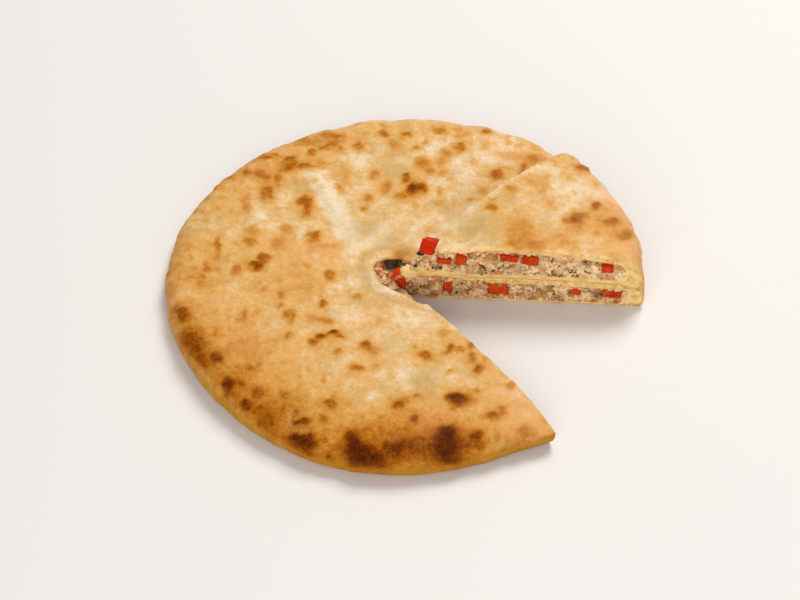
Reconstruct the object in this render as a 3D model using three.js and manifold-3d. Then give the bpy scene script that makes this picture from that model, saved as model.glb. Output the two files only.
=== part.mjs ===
// A round flat pie of thin yeast dough over a minced meat filling, with a steam vent in its lid.
// One wedge is cut out and lies, turned, on the neighbour at its side.
// Millimetres, +Z up. The origin is the middle of the pie, on the surface that it rests on.

import * as THREE from 'three';
import { RoundedBoxGeometry } from 'three/addons/geometries/RoundedBoxGeometry.js';
import { mergeVertices } from 'three/addons/utils/BufferGeometryUtils.js';
import Module from 'manifold-3d';

// Outline and height of the whole pie.
const RADIUS = 160;
const LOBES = [
  { count: 3, height: 0.7, at: 26 },
  { count: 4, height: 1.2, at: -16 },
  { count: 5, height: 0.5, at: -26 },
];
const FLAT_SPOT = { at: -20, width: 19, depth: 6 }; // where the outline falls short of round
const CROWN = 24; // lid height half way out
const MIDDLE_DIP = 2.5; // how much lower the lid is at the vent
const MIDDLE_REACH = 40;
const RIM_FALL = 1.7; // how much lower the lid is where the rim starts
const RIM_WIDTH = 24; // radial width of the rounded rim
const RIM_WIDEST = 7; // height of the widest point
const RIM_FOOT = 6; // rounding below the widest point
const RIM_FULLNESS = 2.3; // exponent of the rim's superellipse
const AROUND = 84; // facets round the crust
const FOOT_STEPS = 3;
const SHOULDER_STEPS = 7;
const LID_RINGS = [126, 117, 108, 99, 90, 81, 72, 63, 54, 45, 38, 32, 28, 24.5, 21.5, 16];

// Dough and filling.
const LID = 3.4;
const BASE = 3;
const SIDE = 10.5; // dough at the rim
const FILLING_SHOULDER = 10; // height of the filling's edge over the base
const FILLING_AROUND = 48;
const FILLING_RINGS = [127, 108, 90, 72, 54, 38, 28, 20, 12];
const CLEARANCE = 0.3; // between neighbouring pieces

// Lid relief: long waves, one fold and blisters.
const WAVES = [
  { length: 95, heading: 20, phase: 0, height: 0.5 },
  { length: 70, heading: 75, phase: 40, height: 0.45 },
  { length: 52, heading: 130, phase: 110, height: 0.4 },
  { length: 38, heading: 165, phase: 200, height: 0.25 },
];
const FOLD = { from: [-64, 91], to: [-34, 41], width: 7, height: 1.4 };
const BLISTERS = 70;
const BLISTER_WIDTH = 6;
const LARGE_BLISTER = 1.5; // every third one is wider by this
const BLISTER_HEIGHT = 1;

// Steam vent in the lid.
const VENT = { x: 5, y: -3, across: 54, deep: 41, heading: -15 };
const VENT_FUNNEL = { top: 1.04, bottom: 0.92, around: 40 }; // its wall, as shares of its size
const LIP_HEIGHT = 1.3;
const LIP_WIDTH = 4;
const VENT_DIMPLE = 2.6; // how far the filling sinks there

// The two cuts, as headings in degrees from the point where they meet.
const CUT_APEX = { x: -9, y: -3.5 };
const NEAR_CUT = -52.4;
const FAR_CUT = -3.2;
const CRAG_HEIGHT = 0.8; // roughness of the cut filling
const CRAG_STEP = 5;

// The slice: what the knife and the move took off it, and where it lies.
const SLICE_LEAN = 5; // its cut faces lean in towards the top
const SLICE_NEAR_LOSS = 0.5;
const SLICE_FAR_LOSS = 4.2;
const SLICE_TURN = 48;
const SLICE_SHIFT = { x: 3.5, y: -0.6 };
const SLICE_SLUMP = 0.3; // share of its height lost at the far outer corner
const SLUMP_FROM = 100; // distance from the apex where that starts
const SLICE_TILT = 0.7; // its outer end is lower
const PRESSED = 1.9; // how far its weight flattens the lid below it

// Diced sweet pepper: place along the cut from its apex, height of the centre, then width, height and depth.
const DIE_ROUNDING = 1.3;
const DIE_PROUD = 0.8; // how far a die stands out of the cut
const FAR_CUT_DICE = [
  [36, 11, 7, 11, 8],
  [69.5, 11.6, 14, 9, 9],
  [120.5, 11, 8, 6, 7],
  [145, 10, 13, 6.5, 8],
];
const NEAR_CUT_DICE = [
  [44, 12, 12, 8, 8],
  [91, 10.5, 9, 10, 8],
  [128, 12, 13, 7, 8],
];
const SLICE_FRONT_DICE = [
  [30, 10.5, 8, 4.5, 5.5],
  [41, 12, 8, 9, 8],
  [72, 15.6, 12, 6, 8],
  [86, 15, 12, 7.5, 9],
  [137, 12, 8, 7, 7],
];
const SLICE_BACK_DICE = [
  [52, 12.5, 12, 8, 8],
  [88, 11, 8, 9, 8],
  [126, 12, 13, 7, 8],
];
const PIE_VENT_DIE = { x: -6, y: 2.5, z: 12.5, size: [10, 8, 9], turn: 38 };
const SLICE_VENT_DIE = { x: 6.8, y: -13, z: 17.2, size: [12, 11, 11], turn: -40 };

const DOUGH = new THREE.MeshStandardMaterial({ color: 0xe0b878, roughness: 0.5, metalness: 0 });
const MEAT = new THREE.MeshStandardMaterial({ color: 0xb98a6c, roughness: 0.6, metalness: 0 });
const PEPPER = new THREE.MeshStandardMaterial({ color: 0xc4361a, roughness: 0.3, metalness: 0 });

const wasm = await Module();
wasm.setup();

const { cos, sin, tan, hypot, exp, max, min, PI } = Math;
const radians = THREE.MathUtils.degToRad;
const smoothstep = THREE.MathUtils.smoothstep;

// Solids and meshes.

function solidOf(geometry) {
  const bare = geometry.clone();
  bare.deleteAttribute('normal');
  bare.deleteAttribute('uv');
  const merged = mergeVertices(bare, 1e-4);
  const vertProperties = merged.attributes.position.array;
  const triVerts = new Uint32Array(merged.index.array);
  return new wasm.Manifold(new wasm.Mesh({ numProp: 3, vertProperties, triVerts }));
}

function meshOf(name, solid, material) {
  const { vertProperties, triVerts } = solid.getMesh();
  const geometry = new THREE.BufferGeometry();
  geometry.setAttribute('position', new THREE.BufferAttribute(vertProperties, 3));
  geometry.setIndex(new THREE.BufferAttribute(triVerts, 1));
  geometry.computeVertexNormals();
  return namedMesh(name, geometry, material);
}

function namedMesh(name, geometry, material) {
  const mesh = new THREE.Mesh(geometry, material);
  mesh.name = name;
  return mesh;
}

function movePoints(geometry, move) {
  const place = geometry.attributes.position;
  const point = new THREE.Vector3();
  for (let i = 0; i < place.count; i += 1) {
    move(point.fromBufferAttribute(place, i));
    place.setXYZ(i, point.x, point.y, point.z);
  }
  return geometry;
}

function turned(profile, around) {
  const points = profile.map(([r, z]) => new THREE.Vector2(r, z));
  return new THREE.LatheGeometry(points, around).rotateX(PI / 2);
}

// Form of the lid.

function crownHeight(r) {
  const dip = MIDDLE_DIP * exp(-((r / MIDDLE_REACH) ** 2));
  const fall = RIM_FALL * (r / (RADIUS - RIM_WIDTH)) ** 4;
  return CROWN - dip - fall;
}

function outlineScale(x, y) {
  const heading = Math.atan2(y, x);
  const lobe = ({ count, height, at }) => height * cos(count * (heading - radians(at)));
  const swell = LOBES.reduce((sum, each) => sum + lobe(each), 0);
  const fromFlat = (heading - radians(FLAT_SPOT.at)) / radians(FLAT_SPOT.width);
  return 1 + (swell - FLAT_SPOT.depth * exp(-(fromFlat ** 2))) / RADIUS;
}

function waves(x, y) {
  return WAVES.reduce((sum, { length, heading, phase, height }) => {
    const along = x * cos(radians(heading)) + y * sin(radians(heading));
    return sum + height * sin((2 * PI * along) / length + radians(phase));
  }, 0);
}

function fold(x, y) {
  const [fromX, fromY] = FOLD.from;
  const runX = FOLD.to[0] - fromX;
  const runY = FOLD.to[1] - fromY;
  const share = min(1, max(0, ((x - fromX) * runX + (y - fromY) * runY) / (runX ** 2 + runY ** 2)));
  const off = hypot(x - fromX - share * runX, y - fromY - share * runY);
  return FOLD.height * exp(-((off / FOLD.width) ** 2));
}

// Blisters are spread as the seeds of a sunflower are, and every third is larger.
function blisters(x, y) {
  const golden = PI * (3 - Math.sqrt(5));
  let rise = 0;
  for (let i = 4; i < BLISTERS; i += 1) {
    const r = (RADIUS - RIM_WIDTH / 2) * Math.sqrt(i / BLISTERS);
    const width = BLISTER_WIDTH * (i % 3 === 0 ? LARGE_BLISTER : 1);
    const off = hypot(x - r * cos(i * golden), y - r * sin(i * golden));
    rise = max(rise, BLISTER_HEIGHT * exp(-((off / width) ** 2)));
  }
  return rise;
}

// 1 on the edge of the vent, less inside it.
function ventDistance(x, y) {
  const angle = radians(VENT.heading);
  const along = (x - VENT.x) * cos(angle) + (y - VENT.y) * sin(angle);
  const across = (y - VENT.y) * cos(angle) - (x - VENT.x) * sin(angle);
  return hypot(along / (VENT.across / 2), across / (VENT.deep / 2));
}

function lip(x, y) {
  const off = ((ventDistance(x, y) - 1) * (VENT.across + VENT.deep)) / 4;
  return LIP_HEIGHT * exp(-(((off - LIP_WIDTH / 2) / LIP_WIDTH) ** 2));
}

// Where the slice lies: 1 on the lid below it, falling to 0 beside it.
function underSlice(x, y) {
  const fromX = x - CUT_APEX.x;
  const fromY = y - CUT_APEX.y;
  const near = radians(NEAR_CUT + SLICE_TURN);
  const far = radians(FAR_CUT + SLICE_TURN);
  const insideNear = fromY * cos(near) - fromX * sin(near);
  const insideFar = fromX * sin(far) - fromY * cos(far);
  return smoothstep(min(insideNear + 12, insideFar + 6), 0, 10);
}

function lidRelief(x, y) {
  const free = waves(x, y) + fold(x, y) + blisters(x, y) + lip(x, y);
  const pressed = underSlice(x, y);
  return free * (1 - pressed) - PRESSED * pressed;
}

// The whole pie before it is cut.

function rimArc(width, height, steps) {
  const power = 2 / RIM_FULLNESS;
  return Array.from({ length: steps + 1 }, (unused, i) => {
    const turn = (PI / 2) * (i / steps);
    return [width * (1 - max(0, cos(turn)) ** power), height * sin(turn) ** power];
  });
}

function outerProfile() {
  const start = RADIUS - RIM_WIDTH;
  const foot = rimArc(RIM_FOOT, -RIM_WIDEST, FOOT_STEPS).reverse();
  const shoulder = rimArc(RIM_WIDTH, crownHeight(start) - RIM_WIDEST, SHOULDER_STEPS).slice(1);
  return [
    [0, 0],
    ...foot.map(([inset, rise]) => [RADIUS - inset, RIM_WIDEST + rise]),
    ...shoulder.map(([inset, rise]) => [RADIUS - inset, RIM_WIDEST + rise]),
    ...LID_RINGS.map((r) => [r, crownHeight(r)]),
    [0, crownHeight(0)],
  ];
}

function outerForm() {
  return movePoints(turned(outerProfile(), AROUND), (p) => {
    const onTop = smoothstep(p.z, RIM_WIDEST, crownHeight(RADIUS - RIM_WIDTH));
    p.z += onTop * lidRelief(p.x, p.y);
    const scale = outlineScale(p.x, p.y);
    p.x *= scale;
    p.y *= scale;
  });
}

// The space for the filling, smaller all round by the given inset. The lid keeps its thickness over it.
function fillingForm(inset) {
  const end = RADIUS - SIDE - inset;
  const floor = BASE + inset;
  const roof = (r) => crownHeight(r) - LID - inset;
  const profile = [
    [0, floor],
    [end - 7, floor],
    [end - 2, floor + 2],
    [end, BASE + 6],
    [end - 3, BASE + FILLING_SHOULDER - inset],
    [end - 10, roof(end - 10)],
    ...FILLING_RINGS.map((r) => [r, roof(r)]),
    [0, roof(0)],
  ];
  return movePoints(turned(profile, FILLING_AROUND), (p) => {
    const onTop = smoothstep(p.z, BASE + FILLING_SHOULDER, roof(RADIUS - RIM_WIDTH));
    p.z -= onTop * PRESSED * underSlice(p.x, p.y);
  });
}

function dimpled(form) {
  return movePoints(form, (p) => {
    const sunk = 1 - smoothstep(ventDistance(p.x, p.y), 0.5, 1.3);
    if (p.z > CROWN / 2) p.z -= VENT_DIMPLE * sunk;
  });
}

function ventHole() {
  const { top, bottom, around } = VENT_FUNNEL;
  const wall = new THREE.CylinderGeometry(top, bottom, CROWN, around).rotateX(PI / 2);
  wall.scale(VENT.across / 2, VENT.deep / 2, 1);
  return wall.rotateZ(radians(VENT.heading)).translate(VENT.x, VENT.y, CROWN + BASE);
}

// Knives: each is a block with one face on a cut, wide of it on the wedge's side.

function crags(along, z, seed) {
  const coarse = sin(along * 0.9 + seed) * cos(z * 1.1 + seed * 2);
  const fine = sin(along * 2.3 - z * 1.7 + seed * 3);
  return CRAG_HEIGHT * (0.6 * coarse + 0.4 * fine);
}

function knife({ heading, side, loss = 0, lean = 0, rough = false, seed = 0 }) {
  const long = 2 * (RADIUS + 30);
  const deep = RADIUS;
  const tall = 3 * CROWN;
  const columns = rough ? Math.round(long / CRAG_STEP) : 1;
  const rows = rough ? Math.round(tall / CRAG_STEP) : 1;
  const block = new THREE.BoxGeometry(long, deep, tall, columns, 1, rows);
  movePoints(block, (p) => {
    const onCut = p.y < 0;
    p.y += deep / 2 + loss;
    if (onCut && rough) p.y += crags(p.x, p.z, seed);
  });
  block.rotateX(-radians(lean));
  if (side < 0) block.rotateZ(PI);
  block.rotateZ(radians(heading));
  return solidOf(block.translate(CUT_APEX.x, CUT_APEX.y, 0));
}

function wedge(rough, seed, { nearLoss = 0, farLoss = 0, lean = 0 } = {}) {
  const near = knife({ heading: NEAR_CUT, side: 1, loss: nearLoss, lean, rough, seed });
  const far = knife({ heading: FAR_CUT, side: -1, loss: farLoss, lean, rough, seed: seed + 5 });
  return near.intersect(far);
}

// Dice: boxes laid on a cut, or free in the vent.

// facing is -1 where the cut looks clockwise round the apex, and 1 where it looks the other way.
function diceOnCut(name, list, heading, facing, loss = 0, lean = 0) {
  return list.map(([along, height, wide, tall, deep], i) => {
    const behind = deep / 2 - DIE_PROUD + loss + height * tan(radians(lean));
    const angle = radians(heading);
    const x = CUT_APEX.x + along * cos(angle) + facing * behind * sin(angle);
    const y = CUT_APEX.y + along * sin(angle) - facing * behind * cos(angle);
    return { name: `${name}_${i + 1}`, x, y, z: height, size: [wide, deep, tall], turn: heading };
  });
}

const placedDie = (box, { x, y, z, turn }) => box.rotateZ(radians(turn)).translate(x, y, z);

function dieForm(die) {
  return placedDie(new RoundedBoxGeometry(...die.size, 1, DIE_ROUNDING), die);
}

function diePocket(die) {
  const room = die.size.map((side) => side + 2 * CLEARANCE);
  return placedDie(new THREE.BoxGeometry(...room), die);
}

function withPockets(filling, dice) {
  return dice.reduce((rest, die) => rest.subtract(solidOf(diePocket(die))), filling);
}

// The slice slumps towards the outer corner of its far cut.
function slumped(mesh) {
  const far = radians(FAR_CUT);
  const wide = radians(FAR_CUT - NEAR_CUT);
  movePoints(mesh.geometry, (p) => {
    const out = hypot(p.x - CUT_APEX.x, p.y - CUT_APEX.y);
    const round = (far - Math.atan2(p.y - CUT_APEX.y, p.x - CUT_APEX.x)) / wide;
    const share = smoothstep(out, SLUMP_FROM, RADIUS) * (1 - smoothstep(round, 0, 0.8));
    p.z *= 1 - SLICE_SLUMP * share;
  });
  mesh.geometry.computeVertexNormals();
  return mesh;
}

// The slice rests on the highest points of the lid below it.

function sliceDirection() {
  return radians((NEAR_CUT + FAR_CUT) / 2 + SLICE_TURN);
}

function sliceLift(lid) {
  const slope = tan(radians(SLICE_TILT));
  const mid = sliceDirection();
  let lift = 0;
  movePoints(lid.clone(), (p) => {
    if (underSlice(p.x, p.y) < 0.3) return;
    const fromX = p.x - CUT_APEX.x - SLICE_SHIFT.x;
    const fromY = p.y - CUT_APEX.y - SLICE_SHIFT.y;
    lift = max(lift, p.z + slope * (fromX * cos(mid) + fromY * sin(mid)));
  });
  return lift + CLEARANCE;
}

function slicePlace(lid, pieces) {
  const mid = sliceDirection();
  const tiltAxis = new THREE.Vector3(-sin(mid), cos(mid), 0);
  const tilt = new THREE.Quaternion().setFromAxisAngle(tiltAxis, radians(SLICE_TILT));
  const turn = new THREE.Quaternion().setFromAxisAngle(new THREE.Vector3(0, 0, 1), radians(SLICE_TURN));
  const atApex = new THREE.Group();
  atApex.position.set(-CUT_APEX.x, -CUT_APEX.y, 0);
  atApex.add(...pieces.map(slumped));
  const place = new THREE.Group();
  place.position.set(CUT_APEX.x + SLICE_SHIFT.x, CUT_APEX.y + SLICE_SHIFT.y, sliceLift(lid));
  place.quaternion.copy(tilt.multiply(turn));
  place.add(atApex);
  return place;
}

// Assembly.

const outer = outerForm();
const crust = solidOf(outer).subtract(solidOf(fillingForm(0))).subtract(solidOf(ventHole()));
const filling = solidOf(dimpled(fillingForm(CLEARANCE)));

const pieDice = [
  ...diceOnCut('pie_far_cut_pepper', FAR_CUT_DICE, FAR_CUT, -1),
  ...diceOnCut('pie_near_cut_pepper', NEAR_CUT_DICE, NEAR_CUT, 1),
  { name: 'pie_vent_pepper', ...PIE_VENT_DIE },
];
const sliceLosses = { nearLoss: SLICE_NEAR_LOSS, farLoss: SLICE_FAR_LOSS, lean: SLICE_LEAN };
const sliceDice = [
  ...diceOnCut('slice_front_pepper', SLICE_FRONT_DICE, NEAR_CUT, -1, SLICE_NEAR_LOSS, SLICE_LEAN),
  ...diceOnCut('slice_back_pepper', SLICE_BACK_DICE, FAR_CUT, 1, SLICE_FAR_LOSS, SLICE_LEAN),
  { name: 'slice_vent_pepper', ...SLICE_VENT_DIE },
];
const diceMeshes = (dice) => dice.map((die) => namedMesh(die.name, dieForm(die), PEPPER));

const pie = new THREE.Group();
pie.add(meshOf('pie_crust', crust.subtract(wedge(false, 0)), DOUGH));
pie.add(meshOf('pie_filling', withPockets(filling.subtract(wedge(true, 1)), pieDice), MEAT));
pie.add(...diceMeshes(pieDice));
pie.add(
  slicePlace(outer, [
    meshOf('slice_crust', crust.intersect(wedge(false, 0, sliceLosses)), DOUGH),
    meshOf('slice_filling', withPockets(filling.intersect(wedge(true, 3, sliceLosses)), sliceDice), MEAT),
    ...diceMeshes(sliceDice),
  ]),
);

export default pie;
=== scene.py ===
"""Dresses a cut ossetian pie: blistered crust, crumbly filling, diced pepper and the slice laid on top."""

import math
from collections import namedtuple

import bmesh
import bpy
import numpy as np
from mathutils import Matrix, Vector
from mathutils.bvhtree import BVHTree


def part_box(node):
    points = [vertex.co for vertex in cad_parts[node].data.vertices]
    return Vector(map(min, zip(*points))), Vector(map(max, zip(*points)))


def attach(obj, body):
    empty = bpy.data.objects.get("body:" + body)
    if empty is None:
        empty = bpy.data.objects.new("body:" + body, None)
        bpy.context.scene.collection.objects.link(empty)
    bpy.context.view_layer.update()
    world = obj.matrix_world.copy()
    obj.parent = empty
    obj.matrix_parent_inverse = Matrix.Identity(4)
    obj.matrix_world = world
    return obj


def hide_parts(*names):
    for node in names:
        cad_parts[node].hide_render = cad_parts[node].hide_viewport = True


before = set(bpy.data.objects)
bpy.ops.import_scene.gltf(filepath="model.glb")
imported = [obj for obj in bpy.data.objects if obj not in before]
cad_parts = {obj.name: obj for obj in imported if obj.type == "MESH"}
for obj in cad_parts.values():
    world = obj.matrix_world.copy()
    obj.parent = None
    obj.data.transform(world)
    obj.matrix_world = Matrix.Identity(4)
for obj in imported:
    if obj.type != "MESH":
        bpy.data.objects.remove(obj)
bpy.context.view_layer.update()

bl_info = {
    "name": "Cut ossetian pie",
    "version": (1, 0, 0),
    "blender": (4, 5, 0),
    "location": "View3D > Sidebar > Pie",
    "description": "Builds the crust, filling and pepper of a cut ossetian pie round its solid model",
    "category": "Object",
}

# Sizes below are in millimetres and angles in degrees, as in the solid model. Meshes are in metres.
MM = 0.001

# Form of the whole pie
RADIUS = 160.0
LOBES = ((3, 0.7, 26.0), (4, 1.2, -16.0), (5, 0.5, -26.0))
FLAT_AT, FLAT_WIDTH, FLAT_DEPTH = -20.0, 19.0, 6.0
CROWN = 24.0
MIDDLE_DIP, MIDDLE_REACH = 2.5, 40.0
RIM_FALL = 1.7
RIM_WIDTH, RIM_WIDEST, RIM_FOOT, RIM_FULLNESS = 24.0, 7.0, 6.0, 2.3
LID, SIDE, TOUCH = 3.4, 10.5, 0.03
FILLING_SHOULDER, FILLING_FOOT, FILLING_WIDEST = 10.0, 7.0, 10.0
# Each wave of the lid: length, heading, phase, height
WAVES = ((95, 20, 0, 0.5), (70, 75, 40, 0.45), (52, 130, 110, 0.4), (38, 165, 200, 0.25))
# Each fold of the lid: one end, other end, half width, height
FOLDS = (
    ((-64.0, 92.0), (-37.0, 33.0), 6.4, 2.6), ((-78.0, 84.0), (-54.0, 50.0), 6.0, -1.2),
    ((-42.0, 103.0), (-20.0, 74.0), 6.0, 1.1), ((-28.0, 66.0), (-16.0, 44.0), 6.0, -0.7),
)
VENT_X, VENT_Y, VENT_ACROSS, VENT_DEEP, VENT_HEADING = 5.0, -3.0, 54.0, 41.0, -15.0
LIP_HEIGHT, LIP_WIDTH, VENT_DIMPLE, VENT_FAR_CLOSED, VENT_NEAR_OPENED = 2.1, 2.7, 3.4, 0.40, 0.35
# The groove round the vent: its depth, distance and width, and the distance of the grey painted shade in it
GROOVE_DEPTH, GROOVE_FROM_VENT, GROOVE_WIDTH, GROOVE_SHADE_FROM_VENT = 1.5, 9.0, 3.0, 9.5
# How far the slice presses the lid in, how much more at the far cut, how far past its two cuts, and over
# what width that fades
PRESSED, PRESSED_AT_CUT, PRESSED_PAST_NEAR, PRESSED_PAST_FAR, PRESSED_FADE = 1.9, 0.8, 12.0, 6.0, 10.0
TIP_REACH, TIP_WIDTH, TIP_FLAT, TIP_DRAWN, TIP_LIFT, TIP_UNDERCUT = 5.5, 16.0, 0.9, 6.0, 0.75, 0.4
TIP_BASE, TIP_BASE_REACH = 5.0, 27.0
# Where the open vent's hollow is seen, its width and depth; the filling there is also painted dark as shade
HOLLOW_SEEN, HOLLOW_WIDTH, HOLLOW_DEPTH = (391, 258), 11.0, 6.0
FLAKE_SEEN, FLAKE_WIDTH, FLAKE_HEIGHT = (575, 157), 3.6, 2.4

# The cuts, and how the cut-out slice lies on the pie
APEX = np.array((-9.0, -3.5))
NEAR_CUT, FAR_CUT = -52.4, -3.2
SLICE_LEAN, SLICE_NEAR_LOSS, SLICE_FAR_LOSS = 5.0, 0.5, 4.2
SLICE_TURN, SLICE_SHIFT, SLICE_TILT = 48.0, np.array((3.5, -0.6)), 0.7
SLICE_SLUMP, SLUMP_FROM = 0.3, 100.0
SLICE_REST, TONGUE, FLUSH_FROM = 0.2, 4.0, (36.0, 60.0)
TONGUE_AT, TONGUE_HALF, TONGUE_HEADING = np.array((1.4, -3.2, 23.4)), np.array((6.4, 3.4, 3.6)), -12.0
SLICE_VENT_SHARE, SLICE_VENT_CLOSED, SLICE_DIMPLE, SLICE_LIP_SHARE = 0.73, 0.34, 0.4, 0.85
# How far the slice sags on to the lid under it, and is raised by it
SLICE_SAG, SLICE_RAISE = 3.5, 2.0
# Thickness of the dough under the filling
PIE_BASE, SLICE_BASE = 2.0, 3.0

# The view of the photograph, in its 800 by 600 frame
FRAME_WIDTH, FRAME_HEIGHT = 800, 600
VIEW_ANGLE, VIEW_RISE, VIEW_DISTANCE = 20.0, 45.8, 1513.0
VIEW_TARGET = np.array((-4.6, -7.0, 0.0))
PIXEL = 2.0 * VIEW_DISTANCE * math.tan(math.radians(VIEW_ANGLE / 2.0)) / FRAME_WIDTH
SLICE_LID = 46.0

# Spacing of the mesh points
LID_CELL, HIDDEN_CELL, FACE_CELL = 1.15, 4.0, 0.55
FOOTPRINT_POINTS, DIE_STEPS = 31, 9
# Angle in degrees from which an edge of a mesh is shaded sharp
SHARP_FROM = 62.0

# Baking, from 0 for raw dough to 1 for burnt. The lid's starts from that of its middle, with more midway, at
# the rim and at the front of the rim, and less on the vent's lip.
BAKE_MIDDLE, BAKE_MIDWAY, BAKE_RIM, BAKE_FRONT, BAKE_LIP = 0.135, 0.035, 0.04, 0.16, 0.03
# Least baking of the lid, and the low baking along the fold's ridge that paints a highlight there
BAKE_LEAST, BAKE_FOLD_HIGHLIGHT = 0.05, 0.035
BAKE_SIDE, BAKE_FRONT_SIDE, BAKE_FOOT, BAKE_UNDER = 0.32, 0.30, 0.68, 0.55
# Heading of the part of the rim that is baked most, and half width of the painted highlight along the fold's
# ridge
BAKED_TOWARDS, FOLD_HIGHLIGHT_WIDTH = 228.0, 8.2
# Half width in pixels from which a blister has its full height, how many half widths its stain reaches, and
# how many small ones are seeded
FULL_BLISTER, STAIN_REACH = 7.0, 3.6
SMALL_BLISTERS = {"pie": 70, "slice": 16}
# Reach of a zone's change, as a share of its width
ZONE_SHARE = 0.62
# How far lumps and blisters stand out on each part of the crust
RELIEF = {"nose": 0.5, "lid": 1.0, "rim": 1.0, "foot": 0.5, "under": 0.0}
# What is painted on the crust: baking, cut dough, thin dough that also carries painted shade, blush and the
# yellow low edge
CRUST_PAINT = ("bake", "cut", "thin", "blush", "edge")
# How soft the dark lines between crumbs of mince are, painted partly as meat juice and partly as shade
CREASE_WIDTH = 0.17

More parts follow.
